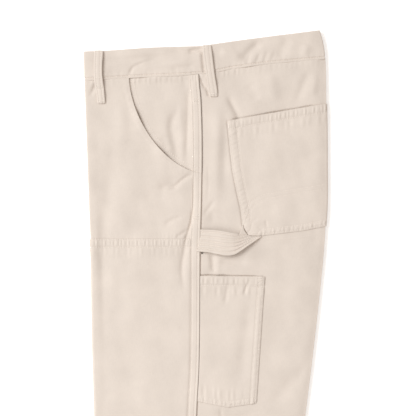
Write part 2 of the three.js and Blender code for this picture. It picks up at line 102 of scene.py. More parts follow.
# Finer creases of the upper side, as lines of (x, down) points with a width and a height
CREASES = [
    ([(-20, 206), (-29, 211), (-36, 216), (-43, 223), (-52, 227)], 2.4, -1.7),
    ([(-40, 222), (-56, 224), (-68, 226)], 4.6, -0.5),
    ([(-56, 236), (-90, 240)], 6.0, -0.3),
    ([(-17.6, 208), (-17.4, 235), (-18, 256)], 1.8, -1.0),
    ([(-18, 250), (-19.5, 266), (-21, 276), (-25.8, 291), (-27.6, 297), (-29.5, 306)], 1.9, -1.9),
    ([(-27.6, 296), (-30.1, 311), (-33, 330), (-34, 345), (-31, 372)], 3.5, -1.1),
    ([(-34, 267), (-47, 271), (-60, 279)], 3.4, -1.2),
    ([(-26, 286), (-43, 297)], 2.2, -1.2),
    ([(-157, 75), (-160, 83), (-166, 95)], 2.2, -2.6),
    ([(-168, 78), (-171, 90)], 2.6, 1.2),
    ([(-131, 96), (-133, 150), (-135, 200), (-140, 240), (-148, 285), (-150, 325), (-148, 385),
      (-146, 440)], 9.5, -0.4),
    ([(-121, 110), (-118, 170)], 9.0, 0.35),
    ([(-40, 112), (-48, 127), (-50, 140), (-47, 155), (-44, 167), (-40, 188)], 5.6, -0.62),
    ([(-62, 150), (-56, 172)], 6.0, -0.3),
    ([(-22.5, 72), (-24, 90), (-25, 120), (-26, 150), (-28, 184)], 3.4, -1.2),
    ([(-36, 96), (-36, 120), (-34, 190)], 4.1, 0.6),
    ([(32, 94), (39.5, 108), (44, 117), (50, 131)], 4.1, -1.6),
    ([(28, 108), (28, 140), (27, 180), (28, 215)], 6.0, -0.32),
    ([(17, 110), (16, 200), (15, 262)], 8.0, 0.4),
    ([(3.6, 190), (4.0, 222), (2.6, 244)], 1.7, -0.4),
    ([(13, 243), (5, 254), (-3, 265)], 3.0, -0.8),
    ([(8, 258), (11, 274)], 5.0, -0.35),
    ([(-8, 67), (-4.5, 74), (-0.5, 83)], 2.2, -2.2),
    ([(0, 78), (2.6, 86), (5, 95)], 2.0, -1.6),
    ([(149, 58), (140, 78), (131, 101)], 6.0, -0.6),
    ([(160, 62), (152, 94)], 6.0, 0.4),
    ([(60, 76), (74, 100)], 9.0, -0.4),
    ([(92, 60), (98, 104)], 9.0, 0.4),
    ([(9, 318), (12, 348)], 4.8, -1.0),
    ([(24, 326), (22, 348)], 5.0, -0.15),
    ([(20, 330), (60, 332)], 6.0, -0.5),
    ([(65, 273), (75, 270)], 1.8, -0.5),
    ([(86, 271), (87.5, 282)], 1.9, -0.6),
    ([(74, 281), (81, 285)], 1.8, -0.45),
    ([(98, 318), (150, 330)], 9.0, -0.3),
    ([(61.5, 358), (58, 368), (54, 379)], 2.4, -1.0),
    ([(33, 360), (31, 374), (27, 392)], 3.4, -0.9),
    ([(64, 376), (60, 420), (54, 464), (50, 510)], 9.0, -0.45),
    ([(158, 475), (140, 488), (122, 505), (104, 524), (92, 536)], 10.0, -0.5),
    ([(112, 360), (116, 440)], 12.0, -0.25),
    ([(-62, 330), (-64, 400)], 12.0, -0.3),
    ([(-105, 330), (-108, 440)], 14.0, 0.3),
    ([(10, 548), (40, 556), (74, 548)], 6.0, -0.35),
    ([(21, 541), (23, 560)], 2.6, -0.7),
    ([(-130, 620), (-90, 648), (-50, 640)], 6.0, -0.6),
    ([(-140, 690), (-95, 672), (-60, 680)], 6.0, -0.45),
    ([(20, 655), (60, 682), (108, 664)], 6.0, -0.6),
    ([(10, 700), (50, 712)], 5.0, -0.4),
    ([(-110, 800), (-100, 900)], 8.0, 0.4),
    ([(0, 780), (5, 900), (-2, 1000)], 7.0, -0.45),
    ([(60, 840), (52, 960)], 8.0, 0.4),
    ([(-60, 930), (-56, 1040)], 7.0, -0.4),
    ([(-120, 985), (-118, 1055)], 6.0, -0.4),
    ([(40, 1000), (36, 1060)], 6.0, -0.4),
]

# Creases of the waistband's upper side
BAND_CREASES = [
    ([(-112, 66), (-104, 53), (-90, 46), (-70, 41)], 2.2, -0.8),
    ([(-138, 42), (-100, 41), (-60, 37)], 3.2, -0.45),
    ([(-140, 60), (-118, 61)], 2.6, -0.35),
    ([(-120, 34), (-80, 32), (-40, 32)], 3.0, 0.35),
    ([(-96, 56), (-60, 50), (-30, 46)], 4.0, 0.4),
    ([(-60, 30), (-20, 29)], 2.8, -0.4),
    ([(-26, 31), (-14, 28), (-2, 26)], 3.4, -1.7),
    ([(-50, 55), (-16, 52)], 4.5, -0.35),
    ([(-4.8, 28), (-3.4, 44), (-1.8, 60)], 2.8, -1.3),
    ([(20, 30), (50, 38)], 6.0, 0.4),
    ([(55, 47), (57, 37), (66, 27), (79, 16)], 6.0, -0.6),
    ([(58, 49), (64, 35)], 2.4, -0.5),
    ([(71, 48), (78, 33)], 2.6, -0.6),
    ([(83, 46), (89, 30)], 2.8, -0.45),
    ([(95, 44), (99, 30)], 2.8, -0.35),
    ([(104, 41), (112, 24), (120, 10)], 7.0, -0.35),
    ([(140, 38), (146, 20)], 6.0, 0.3),
]

# Patches, pockets and loops
PATCH_DOWN = 298.0
PATCH_LENGTH = 440.0
PATCH_PERIOD = 5.6
OPENING_WIDTH = 104.0
OPENING_DROP = 136.0
OPENING_POWER = 1.7
OPENING_X = -6.0
OPENING_DOWN = 68.0
FACING_TUCK = 18.0
FACING_SLOPE = 9.0
FACING_GAP = 0.45
POCKET_SIDE = [(31.0, 129.6), (34.6, 167.0), (38.3, 200.0), (43.8, 228.0), (50.0, 255.0), (52.8, 279.0)]
POCKET_FOOT = [(82.0, 293.3), (111.0, 289.8), (141.0, 286.2), (190.0, 276.0)]
BACK_POCKET = [*POCKET_SIDE, (61.8, 293.1), *POCKET_FOOT, (190.0, 102.0)]
BACK_MOUTH = len(BACK_POCKET) - 1  # the edges that close the outlines are the pockets' mouths
TOOL_POCKET = [(-8.1, 351.2), (-12.4, 530.4), (32.2, 539.2), (72.3, 533.2), (84.4, 352.6)]
TOOL_MOUTH = len(TOOL_POCKET) - 1
LOOP_HOLE = (-4.8, 318.5)  # the seam stands open a little below the hammer loop's end
LOOP_HOLE_RADIUS = 1.9
PATCH_TURN = 144.0  # how far a patch turns round a crease, in degrees
HAMMER_LOOP = {
    "upper": [(-7.2, 285.0, 1.7), (4.0, 285.4, 3.6), (15.0, 286.1, 5.4), (26.0, 287.8, 6.0),
              (37.0, 289.8, 5.6), (43.5, 291.0, 4.6), (48.3, 291.3, 3.4), (50.6, 285.4, 1.9),
              (52.8, 279.0, 0.8)],
    "middle": [(-8.0, 300.5, 1.7), (3.5, 301.0, 4.4), (15.5, 303.0, 6.2), (27.5, 305.0, 7.0),
               (39.0, 306.0, 6.7), (46.5, 304.4, 5.6), (52.0, 301.3, 4.4), (57.0, 297.2, 2.9),
               (61.4, 293.6, 1.2)],
    "lower": [(-12.6, 316.0, 1.9), (2.5, 317.0, 5.0), (16.0, 319.4, 6.8), (29.0, 321.6, 7.3),
              (40.0, 320.4, 7.0), (49.0, 315.8, 6.2), (58.0, 309.6, 5.0), (69.0, 302.2, 3.3),
              (80.4, 294.2, 1.5)],
}
STRAP_EDGE = [*(point[:2] for point in HAMMER_LOOP["upper"][:5]),
              (44.0, 292.2), (51.0, 292.8), (61.7, 292.7), (76.0, 294.4)]
STRAP = 1.8
LOOP_WIDTH = 12.0
LOOP_FOOT = 0.6
BELT_LOOPS = {
    "belt_loop_front": {
        "down": [29.6, 38.0, 47.4, 62.1, 75.7, 83.1, 92.9, 104.2], "tack": 82.5,
        "x": [-153.0, -153.3, -153.7, -153.8, -152.6, -151.6, -150.2, -149.2],
        "width": [12.0, 12.0, 11.4, 11.4, 11.6, 12.0, 10.8, 11.0],
        "rise": [0.0, 1.9, 2.2, 1.2, 0.7, 0.2, 0.9, 0.0]},
    "belt_loop_side": {
        "down": [21.6, 25.2, 43.7, 55.0, 65.8, 76.0, 86.0, 94.2], "tack": 90.5,
        "x": [1.6, 1.9, 4.0, 5.4, 7.0, 8.6, 10.1, 11.2],
        "width": [12.0, 12.0, 12.4, 12.2, 12.0, 12.2, 12.4, 11.4],
        "rise": [0.0, 0.6, 1.1, 1.2, 1.1, 0.9, 0.6, 0.0]},
}

# The photo's frame and colours
FRAME_WIDTH = 594.9
FRAME_CENTRE = (3.3, 287.4)
LENS = 135.0
SENSOR = 36.0
# The second colour is the same canvas a little lighter, for the pockets and loops: painted light on pieces
# that lie on top of the panels.
CLOTH_COLOURS = {"canvas": (0.744, 0.661, 0.594), "canvas_light": (0.752, 0.668, 0.600)}
THREAD_COLOUR = (0.93, 0.85, 0.78)


# Small maths
def smooth(t):
    c = np.clip(t, 0.0, 1.0)
    return c * c * (3 - 2 * c)


def mix(a, b, t):
    return a + (b - a) * t


def bell(distance, width):
    return np.exp(-(distance / width) ** 2)


def fade(distance, reach):
    """1 up to the start of a distance, and dying away after it."""
    return np.exp(-np.maximum(distance, 0) / reach)


def look_up(table, key, column, value):
    """A column of a table at values of its key column, through the rows in a smooth curve."""
    keys = np.asarray(table[key], float)
    rows = np.asarray(table[column], float)
    at = np.clip(np.asarray(value, float), keys[0], keys[-1])
    b = np.clip(np.searchsorted(keys, at, side="left"), 1, len(keys) - 1)
    a = b - 1
    before, after = np.maximum(a - 1, 0), np.minimum(b + 1, len(keys) - 1)
    span = keys[b] - keys[a]
    slope_a = (rows[b] - rows[before]) / (keys[b] - keys[before]) * span
    slope_b = (rows[after] - rows[a]) / (keys[after] - keys[a]) * span
    t = (at - keys[a]) / span
    t2, t3 = t * t, t * t * t
    return ((2 * t3 - 3 * t2 + 1) * rows[a] + (t3 - 2 * t2 + t) * slope_a
            + (3 * t2 - 2 * t3) * rows[b] + (t3 - t2) * slope_b)


front_crease, back_crease, side_seam = (
    partial(look_up, OUTLINE, "down", column) for column in ("front", "back", "side"))
band_top, band_seam = (partial(look_up, WAIST, "x", column) for column in ("top", "seam"))


def along_line(points, x, down):
    """Distance from a line of points, how far along it the nearest point lies, and its length."""
    line = np.asarray(points, float)
    best = np.full(np.shape(x), np.inf)
    where = np.zeros(np.shape(x))
    run = 0.0
    for p, q in zip(line[:-1], line[1:]):
        step = q - p
        length = float(np.hypot(*step))
        t = np.clip(((x - p[0]) * step[0] + (down - p[1]) * step[1]) / length**2, 0, 1)
        distance = np.hypot(x - p[0] - t * step[0], down - p[1] - t * step[1])
        nearer = distance < best
        best = np.where(nearer, distance, best)
        where = np.where(nearer, run + t * length, where)
        run += length
    return best, where, run


SOFT_WIDTH = 4.2  # wider creases than this take the soft gain, and the others the narrow one
SOFT_GAIN = 3.0
NARROW_GAIN = 1.25
CREASE_REACH = 3  # a crease is made so many of its widths round its line


def crease_height(creases, x, down):
    """The height of a list of creases: deepest in the middle of each, and gone at its ends."""
    total = np.zeros(np.shape(x))
    for points, width, height in creases:
        line = np.asarray(points, float)
        low, high = line.min(axis=0) - CREASE_REACH * width, line.max(axis=0) + CREASE_REACH * width
        near = (x > low[0]) & (x < high[0]) & (down > low[1]) & (down < high[1])
        if near.any():
            distance, along, length = along_line(points, x[near], down[near])
            end = smooth(np.minimum(along, length - along) / (0.35 * length) + 0.25)
            depth = height * (SOFT_GAIN if width > SOFT_WIDTH else NARROW_GAIN)
            total[near] += depth * end * bell(distance, width)
    return total


def ripple(along, period, phase=0.0):
    """An uneven wave, for needle puckers."""
    turn = 2 * math.pi * along / period
    return (np.sin(turn + phase) + 0.6 * np.sin(1.47 * turn + 1.3 + phase)
            + 0.5 * np.sin(0.61 * turn + 0.5 - phase)) / 1.6


def pucker(along, period, phase=0.0):
    """Needle puckers: ridges above the cloth's own level, from 0 to about 1."""
    return np.clip(0.5 + 0.5 * ripple(along, period, phase), 0, 1.2)


# Slow unevenness of worn and washed cloth: height, shift, and two slanting waves' lengths by x and down
SWELLS = ((0.75, 0.0, (15, 41), (-53, 27)), (0.42, 1.1, (7.5, -23), (31, 13)),
          (0.10, 0.0, (4.1, 9.7), (-11, 5.3)))
LEG_SWELL = 0.6  # the share of the swells' height that is left below the hammer loop
LEG_START = 290
LEG_FADE = 100


def swell(x, down):
    share = mix(1.0, LEG_SWELL, smooth((down - LEG_START) / LEG_FADE))
    return share * sum(height * np.sin(x / a[0] + down / a[1] + shift) * np.sin(down / b[1] + x / b[0])
                       for height, shift, a, b in SWELLS)


# The upper side's height, and both sides as forms. A hand is -1 at the front and 1 at the back.
LOWER_LEG_TOP = 2 * CREASE_RADIUS
UPPER_LEG_BOTTOM = LOWER_LEG_TOP + LEG_GAP
UPPER_LEG_TOP = UPPER_LEG_BOTTOM + 2 * CREASE_RADIUS
BAND_LOWER_TOP = 2 * BAND_CREASE_RADIUS
BAND_UPPER_BOTTOM = BAND_LOWER_TOP + LEG_GAP
BAND_UPPER_TOP = BAND_UPPER_BOTTOM + 2 * BAND_CREASE_RADIUS
SETTLE_REACH = 60.0
SETTLE_INNER = 1.9
SETTLE_OUTER = 2.0
SETTLE_TORSO = 1.0
TORSO_END = 230
TORSO_FADE = 120
TORSO_INSET = (50, 70)
BAND_SETTLE_INNER = 1.15
BAND_SETTLE_OUTER = 2.25
FOLD_GAIN = 1.3
FOLD_REACH = 14
BAND_CREASE_GAIN = 1.6
BAND_SWELL = 0.8
BAND_SWELL_SCALE = (1.3, 1.6)  # the waistband's swells are shorter, across and down
EDGE_DROP = {-1: 0.1, 1: 2.2}  # the cloth falls away towards each crease, front and back
BAND_EDGE_DROP = {-1: 0.3, 1: 1.3}
EDGE_REACH = {-1: 7.0, 1: 12.0}


def from_creases(x, down, radius):
    """How far a point lies inside the front and the back crease."""
    return x - front_crease(down) - radius, back_crease(down) - radius - x


def settled(x, down, radius, start=0.0, reach=SETTLE_REACH):
    """0 at the creases and 1 in the middle of the cloth."""
    front, back = (smooth((inward - start) / reach) for inward in from_creases(x, down, radius))
    return front * back


def fold_height(x, down):
    height = np.zeros(np.shape(x))
    for fold_x, fold_down, angle, length, width, rise in FOLDS:
        c, s = math.cos(math.radians(angle)), math.sin(math.radians(angle))
        along = ((x - fold_x) * c + (down - fold_down) * s) / length
        across = (-(x - fold_x) * s + (down - fold_down) * c) / width
        height += FOLD_GAIN * rise * np.exp(-along * along - across * across)
    return (height + crease_height(CREASES, x, down) + swell(x, down)) * settled(
        x, down, CREASE_RADIUS, 0, FOLD_REACH)


def base_top(top, settle, drop, radius, x, down):
    """The height without folds: it sinks inside the creases, in the torso, and at the very edges."""
    torso = (1 - smooth((down - TORSO_END) / TORSO_FADE)) * settled(x, down, CREASE_RADIUS, *TORSO_INSET)
    roll = sum(drop[hand] * fade(inward, EDGE_REACH[hand])
               for hand, inward in zip((-1, 1), from_creases(x, down, radius)))
    return top - settle * settled(x, down, radius) - SETTLE_TORSO * torso - roll


def panel_top(x, down):
    return (base_top(UPPER_LEG_TOP, SETTLE_OUTER, EDGE_DROP, CREASE_RADIUS, x, down)
            + fold_height(x, down))


def band_face(x, down):
    relief = BAND_CREASE_GAIN * crease_height(BAND_CREASES, x, down)
    relief += BAND_SWELL * swell(x * BAND_SWELL_SCALE[0], down * BAND_SWELL_SCALE[1])
    return (base_top(BAND_UPPER_TOP, BAND_SETTLE_OUTER, BAND_EDGE_DROP, BAND_CREASE_RADIUS, x, down)
            + relief * settled(x, down, BAND_CREASE_RADIUS, 0, FOLD_REACH))


def inner_height(start, fall, radius):
    return lambda x, down: start - fall * smooth(np.minimum(*from_creases(x, down, radius)) / SETTLE_REACH)


UPPER = {
    "out": 1, "inset": 0.0, "hem": 0.0, "gap": SEAM, "radius": CREASE_RADIUS,
    "centre": UPPER_LEG_TOP - CREASE_RADIUS, "outer": panel_top,
    "inner": inner_height(UPPER_LEG_BOTTOM, SETTLE_INNER, CREASE_RADIUS), "drop": EDGE_DROP,
}
LOWER = {
    "out": -1, "inset": LOWER_INSET, "hem": LOWER_HEM_INSET, "gap": 2 * SEAM, "radius": CREASE_RADIUS,
    "centre": CREASE_RADIUS, "outer": lambda x, down: np.zeros(np.shape(x)),
    "inner": inner_height(LOWER_LEG_TOP, SETTLE_INNER, CREASE_RADIUS), "drop": {-1: 0.0, 1: 0.0},
}
UPPER_BAND = {
    **UPPER, "radius": BAND_CREASE_RADIUS, "centre": BAND_UPPER_TOP - BAND_CREASE_RADIUS,
    "outer": band_face, "drop": BAND_EDGE_DROP,
    "inner": inner_height(BAND_UPPER_BOTTOM, BAND_SETTLE_INNER + 0.05, BAND_CREASE_RADIUS),
}
LOWER_BAND = {
    **LOWER, "radius": BAND_CREASE_RADIUS, "centre": BAND_CREASE_RADIUS,
    "inner": inner_height(BAND_LOWER_TOP, BAND_SETTLE_INNER, BAND_CREASE_RADIUS),
}


def crease_centre(side, hand, down):
    crease = front_crease(down) + side["inset"] if hand < 0 else back_crease(down) - side["inset"]
    return crease - hand * side["radius"]


def skin(side, hand, column, down):
    """Points of a side's outer skin in one column: position, direction out, and place on the flat cloth."""
    kind, value = column
    centre = crease_centre(side, hand, down)
    radius, out = side["radius"], side["out"]
    zero = np.zeros(np.shape(down))
    if kind == "crease":
        a = math.radians(value)
        x = centre + hand * radius * math.cos(a)
        height = radius - (side["drop"][hand] if a > 0 else 0.0)
        z = zero + side["centre"] + out * height * math.sin(a)
        normal = (zero + hand * math.cos(a), zero, zero + out * math.sin(a))
        across = zero + radius * (math.pi / 2 - a)
    else:
        x = value(down)
        outer = kind == "outer"
        z = side[kind](x, down)
        normal = (zero, zero, zero + (out if outer else -out))
        inward = np.abs(centre - x)
        across = -inward if outer else math.pi * radius + inward
    return x, z, np.stack(normal, axis=-1), across


# Cloth as sheets of points
def grid_sheet(places, normals, cloth):
    """A sheet from grids of (x, down, z) points, of directions out, and of places on the flat cloth."""
    rows, columns = places.shape[:2]
    base = places.reshape(-1, 3).copy()
    plan = base[:, :2].copy()
    base[:, 1] = LENGTH / 2 - base[:, 1]
    index = np.arange(rows * columns).reshape(rows, columns)
    faces = np.stack([index[:-1, :-1], index[:-1, 1:], index[1:, 1:], index[1:, :-1]], axis=-1)
    return {"base": base, "normal": normals.reshape(-1, 3), "cloth": cloth.reshape(-1, 2), "plan": plan,
            "faces": [tuple(f) for f in faces.reshape(-1, 4)]}


def sheet_of(columns, column_points):
    """A sheet by columns. column_points gives a column's points, as skin does, and their down."""
    parts = [column_points(column) for column in columns]
    x, z, normal, across, down = (np.stack([p[k] for p in parts], axis=1) for k in range(5))
    return grid_sheet(np.stack([x, down, z], axis=-1), normal, np.stack([across, down], axis=-1))


def strap_sheet(places, widths):
    """A sheet from a grid of points [along, across] in (x, down, z), with Z up, and a width across it."""
    real = places * (1, -1, 1)
    normal = np.cross(np.gradient(real, axis=1), np.gradient(real, axis=0))
    normal /= np.linalg.norm(normal, axis=-1, keepdims=True)
    normal = np.where(normal[..., 2:3] < 0, -normal, normal)
    steps = np.linalg.norm(np.diff(places[:, len(widths) // 2], axis=0), axis=1)
    run = np.concatenate([[0], np.cumsum(steps)])
    return grid_sheet(places, normal, np.stack(np.meshgrid(widths, run), axis=-1))


def trimmed(sheet, inside):
    """The part of a sheet where inside is above 0, cut along the line where it is 0."""
    keys = ("base", "normal", "cloth", "plan")
    kept = inside > 0
    faces, cuts, made = [], {}, {key: [] for key in keys}
    count = len(inside)

    def cut(a, b):
        name = (min(a, b), max(a, b))
        if name not in cuts:
            t = inside[a] / (inside[a] - inside[b])
            for key in keys:
                made[key].append(mix(sheet[key][a], sheet[key][b], t))
            cuts[name] = count + len(cuts)
        return cuts[name]

    for face in sheet["faces"]:
        state = [kept[i] for i in face]
        if all(state):
            faces.append(face)
        elif any(state):
            ring = []
            for k, a in enumerate(face):
                b = face[(k + 1) % len(face)]
                if kept[a]:
                    ring.append(a)
                if kept[a] != kept[b]:
                    ring.append(cut(a, b))
            faces.append(tuple(ring))
    points = {key: np.concatenate([sheet[key], np.asarray(made[key]).reshape(-1, sheet[key].shape[1])])
              for key in keys}
    used = np.unique(np.concatenate([np.asarray(f) for f in faces]))
    renumber = np.full(len(points["base"]), -1)
    renumber[used] = np.arange(len(used))
    return {**{key: points[key][used] for key in keys},
            "faces": [tuple(int(renumber[i]) for i in f) for f in faces]}


def edge_distances(outline, x, down):
    """The distance inside each edge of an outline."""
    return [((x - ax) * (bd - ad) - (down - ad) * (bx - ax)) / math.hypot(bx - ax, bd - ad)
            for (ax, ad), (bx, bd) in zip(outline, [*outline[1:], outline[0]])]


def inside_polygon(outline, x, down):
    """Distance to a closed outline, above 0 inside it."""
    closed = [*outline, outline[0]]
    crossings = np.zeros(np.shape(x), int)
    for (ax, ad), (bx, bd) in zip(closed[:-1], closed[1:]):
        spans = (ad > down) != (bd > down)
        with np.errstate(divide="ignore", invalid="ignore"):
            at = ax + (down - ad) * (bx - ax) / (bd - ad)
        crossings += spans & (x < at)
    distance = along_line(closed, x, down)[0]
    return np.where(crossings % 2 == 1, distance, -distance)


EDGE_STEPS = 4
EDGE_BULGE = 0.4
TINY = 1e-9
FACING_SAMPLE = 2000  # so many faces tell which way a sheet's faces turn


def thick(sheet, top, bottom):
    """A closed shell: the sheet's two faces at their lifts, and a rounded edge all round."""
    base, normal, faces = sheet["base"], sheet["normal"], sheet["faces"]
    n = len(base)
    a, b, c = (base[[f[k] for f in faces[:FACING_SAMPLE]]] for k in range(3))
    if np.sum(np.cross(b - a, c - a) * normal[[f[0] for f in faces[:FACING_SAMPLE]]]) < 0:
        faces = [f[::-1] for f in faces]
    border = {}
    for f in faces:
        for i, j in zip(f, (*f[1:], f[0])):
            if (j, i) in border:
                del border[(j, i)]
            else:
                border[(i, j)] = True
    places = [base + normal * top[:, None], base + normal * bottom[:, None]]
    polygons = [*faces, *(tuple(i + n for i in f[::-1]) for f in faces)]
    outward = np.zeros((n, 3))
    for i, j in border:
        away = np.cross(base[j] - base[i], normal[i])
        length = np.linalg.norm(away)
        if length > TINY:
            outward[i] += away / length
            outward[j] += away / length
    on_edge = sorted({i for pair in border for i in pair})
    length = np.linalg.norm(outward[on_edge], axis=1, keepdims=True)
    direction = outward[on_edge] / np.maximum(length, TINY)
    order = {v: k for k, v in enumerate(on_edge)}
    half = (top - bottom)[on_edge, None] / 2
    middle = base[on_edge] + normal[on_edge] * ((top + bottom)[on_edge, None] / 2)
    for k in range(1, EDGE_STEPS):
        angle = math.pi * k / EDGE_STEPS
        places.append(middle + normal[on_edge] * half * math.cos(angle)
                      + direction * EDGE_BULGE * math.sin(angle))

    def ring(v, k):
        if k in (0, EDGE_STEPS):
            return v + (n if k else 0)
        return 2 * n + (k - 1) * len(on_edge) + order[v]

    for i, j in border:
        for k in range(EDGE_STEPS):
            polygons.append((ring(i, k), ring(i, k + 1), ring(j, k + 1), ring(j, k)))
    cloth = np.concatenate([sheet["cloth"]] * 2 + [sheet["cloth"][on_edge]] * (EDGE_STEPS - 1))
    return np.concatenate(places), polygons, cloth


def add_object(name, data):
    obj = bpy.data.objects.new(name, data)
    bpy.context.scene.collection.objects.link(obj)
    return obj


def mesh_object(name, material, points, polygons, cloth=None):
    mesh = bpy.data.meshes.new(name)
    mesh.from_pydata((np.asarray(points) * MM).tolist(), [], polygons)
    mesh.validate()
    if cloth is not None:
        layer = mesh.uv_layers.new(name="cloth")
        corners = np.zeros(len(mesh.loops), int)
        mesh.loops.foreach_get("vertex_index", corners)
        layer.data.foreach_set("uv", (cloth[corners] * MM).astype(np.float32).ravel())
    mesh.materials.append(material)
    mesh.polygons.foreach_set("use_smooth", [True] * len(mesh.polygons))
    return add_object(name, mesh)


# Materials
WEAVE_SCALE = 620.0 / (2 * math.pi) * 2.6
WEAVE_ANGLE = 32
CLOTH_DARK = 0.923  # the cloth's darkest and lightest tones, as shares of its colour
CLOTH_LIGHT = 1.056
BUMP_HEIGHT = 0.25 * MM


def set_inputs(node, values):
    for name, value in values.items():
        node.inputs[name].default_value = value


def new_material(name, values):
    material = bpy.data.materials.new(name)
    material.use_nodes = True
    shader = material.node_tree.nodes["Principled BSDF"]
    set_inputs(shader, values)
    return material, material.node_tree, shader


def colour_by(tree, value, stops, shader):
    """Colours the shader between two stops of a texture's value."""
    ramp = tree.nodes.new("ShaderNodeValToRGB")
    for element, (position, colour) in zip(ramp.color_ramp.elements, stops):
        element.position = position
        element.color = (*colour, 1)
    tree.links.new(value, ramp.inputs["Fac"])
    tree.links.new(ramp.outputs["Color"], shader.inputs["Base Color"])


def canvas(name, colour):
    """Washed cotton canvas: a fine diagonal weave, small slubs and slow changes of tone."""
    material, tree, shader = new_material(name, {
        "Roughness": 0.88, "Specular IOR Level": 0.25, "Sheen Weight": 0.12, "Sheen Roughness": 0.5})
    cloth = tree.nodes.new("ShaderNodeUVMap")
    cloth.uv_map = "cloth"

    def texture(kind, values, placing):
        place, node = tree.nodes.new("ShaderNodeMapping"), tree.nodes.new(kind)
        set_inputs(place, placing)
        set_inputs(node, values)
        tree.links.new(cloth.outputs["UV"], place.inputs["Vector"])
        tree.links.new(place.outputs["Vector"], node.inputs["Vector"])
        return node.outputs["Fac"]

    def total(*parts):
        """The sum of textures by their weights."""
        result = None
        for value, weight in parts:
            node = tree.nodes.new("ShaderNodeMath")
            node.operation = "MULTIPLY_ADD"
            tree.links.new(value, node.inputs[0])
            node.inputs[1].default_value = weight
            node.inputs[2].default_value = 0
            if result is not None:
                tree.links.new(result, node.inputs[2])
            result = node.outputs[0]
        return result

    weave = texture("ShaderNodeTexWave",
                    {"Scale": WEAVE_SCALE, "Distortion": 1.2, "Detail": 1.0, "Detail Scale": 3.0},
                    {"Rotation": (0, 0, math.radians(WEAVE_ANGLE))})
    slubs, weft = (texture("ShaderNodeTexNoise", {"Scale": 1.0, "Detail": 2.0}, {"Scale": stretch})
                   for stretch in ((900, 140, 1), (160, 1100, 1)))
    patches = texture("ShaderNodeTexNoise", {"Scale": 26.0, "Detail": 4.0}, {})
    dark, light = ([min(1.0, c * share) for c in colour] for share in (CLOTH_DARK, CLOTH_LIGHT))
    colour_by(tree, total((patches, 0.55), (slubs, 0.25), (weft, 0.2)), ((0.3, dark), (0.7, light)), shader)
    bump = tree.nodes.new("ShaderNodeBump")
    set_inputs(bump, {"Strength": 0.35, "Distance": BUMP_HEIGHT})
    tree.links.new(total((weave, 0.375), (slubs, 0.5), (weft, 0.4)), bump.inputs["Height"])
    tree.links.new(bump.outputs["Normal"], shader.inputs["Normal"])
    return material


def thread(name, colour):
    material, tree, shader = new_material(name, {"Roughness": 0.7, "Sheen Weight": 0.1})
    texture = tree.nodes.new("ShaderNodeTexNoise")
    texture.inputs["Scale"].default_value = 900.0
    place = tree.nodes.new("ShaderNodeTexCoord")
    tree.links.new(place.outputs["Object"], texture.inputs["Vector"])
    colour_by(tree, texture.outputs["Fac"], ((0, [0.93 * c for c in colour]), (1, colour)), shader)
    return material


CLOTHS = {slot: canvas(slot, colour) for slot, colour in CLOTH_COLOURS.items()}
THREAD = thread("thread", THREAD_COLOUR)

# Camera, floor and light. A lamp has a place and a size in metres, a power and a colour.
FLOOR_REACH = 6000
FLOOR_DROP = 0.02
PAPER = {"Base Color": (0.90, 0.90, 0.90, 1), "Emission Color": (1, 1, 1, 1), "Emission Strength": 0.40,
         "Roughness": 0.9, "Specular IOR Level": 0.1}
SKY = {"Color": (1.0, 0.92, 0.85, 1), "Strength": 0.51}
LAMPS = {"key": ((-2.4, 1.45, 3.05), 2.1, 112.0, (0.94, 0.98, 1.0)),
         "fill": ((-0.5, -0.5, 1.0), 0.9, 3.6, (0.97, 0.99, 1.0))}
LAMP_AIM = Vector((0, 0.2, 0))


def make_stage():
    scene = bpy.context.scene
    camera = bpy.data.cameras.new("camera")
    camera.lens, camera.sensor_width, camera.clip_end = LENS, SENSOR, 100
    scene.camera = add_object("camera", camera)
    scene.camera.location = Vector((*FRAME_CENTRE, FRAME_WIDTH * LENS / SENSOR + UPPER_LEG_TOP)) * MM

    corners = [(FLOOR_REACH * a, FLOOR_REACH * b, 0) for a, b in ((-1, -1), (1, -1), (1, 1), (-1, 1))]
    floor = mesh_object("floor", new_material("floor", PAPER)[0], corners, [(0, 1, 2, 3)])
    floor.location.z = -FLOOR_DROP * MM

    scene.world = bpy.data.worlds.new("studio")
    scene.world.use_nodes = True
    set_inputs(scene.world.node_tree.nodes["Background"], SKY)
    for name, (place, size, power, colour) in LAMPS.items():
        data = bpy.data.lights.new(name, "AREA")
        data.size, data.energy, data.color = size, power, colour
        lamp = add_object(name, data)
        lamp.location = place
        lamp.rotation_euler = (LAMP_AIM - lamp.location).to_track_quat("-Z", "Y").to_euler()
    scene.view_settings.view_transform = "Standard"


make_stage()


# Columns and rows of the panels
def row_down(base, x, gap):
    """A row's distance down where it is bent along the waistband seam."""
    return base + (band_seam(x) + gap - ROW_START) * np.maximum(0, 1 - (base - ROW_START) / ROW_FADE)


def side_columns(side, hand, column, bases):
    """One column of a panel, with its rows bent along the waistband seam."""
    down = bases
    for _ in range(2):
        down = row_down(bases, skin(side, hand, column, down)[0], side["gap"])
    down = np.minimum(down, LENGTH - side["hem"])
    return (*skin(side, hand, column, down), down)


# Where a panel's inner layer ends in the torso: its x, where it starts to turn to the inseam, and the
# power of its curve
INSEAM_OFFSET = 2
INNER_ENDS = {-1: (FLY_TUCK_X, 165, 2.4), 1: (SEAT_TUCK_X, 115, 2.0)}


def inner_end(hand, down):
    tuck, straight, power = INNER_ENDS[hand]
    rise = np.clip((down - straight) / (FORK_DOWN - straight), 0, 1)
    inseam = side_seam(np.maximum(down, FORK_DOWN)) + INSEAM_OFFSET
    return mix(tuck, inseam, rise**power) + hand * SEAM / 2


def beside_seam(hand, offset, down):
    return side_seam(down) + hand * (SEAM / 2 + offset)


def to_crease(kind, side, hand, start, shares):
    """Columns from a line, which start(down) gives, towards a crease, at shares of the way."""
    return [(kind, lambda down, s=s: mix(start(down), crease_centre(side, hand, down), s)) for s in shares]


def round_crease(end, count):
    return [("crease", angle) for angle in np.linspace(90, end, count)[1:]]


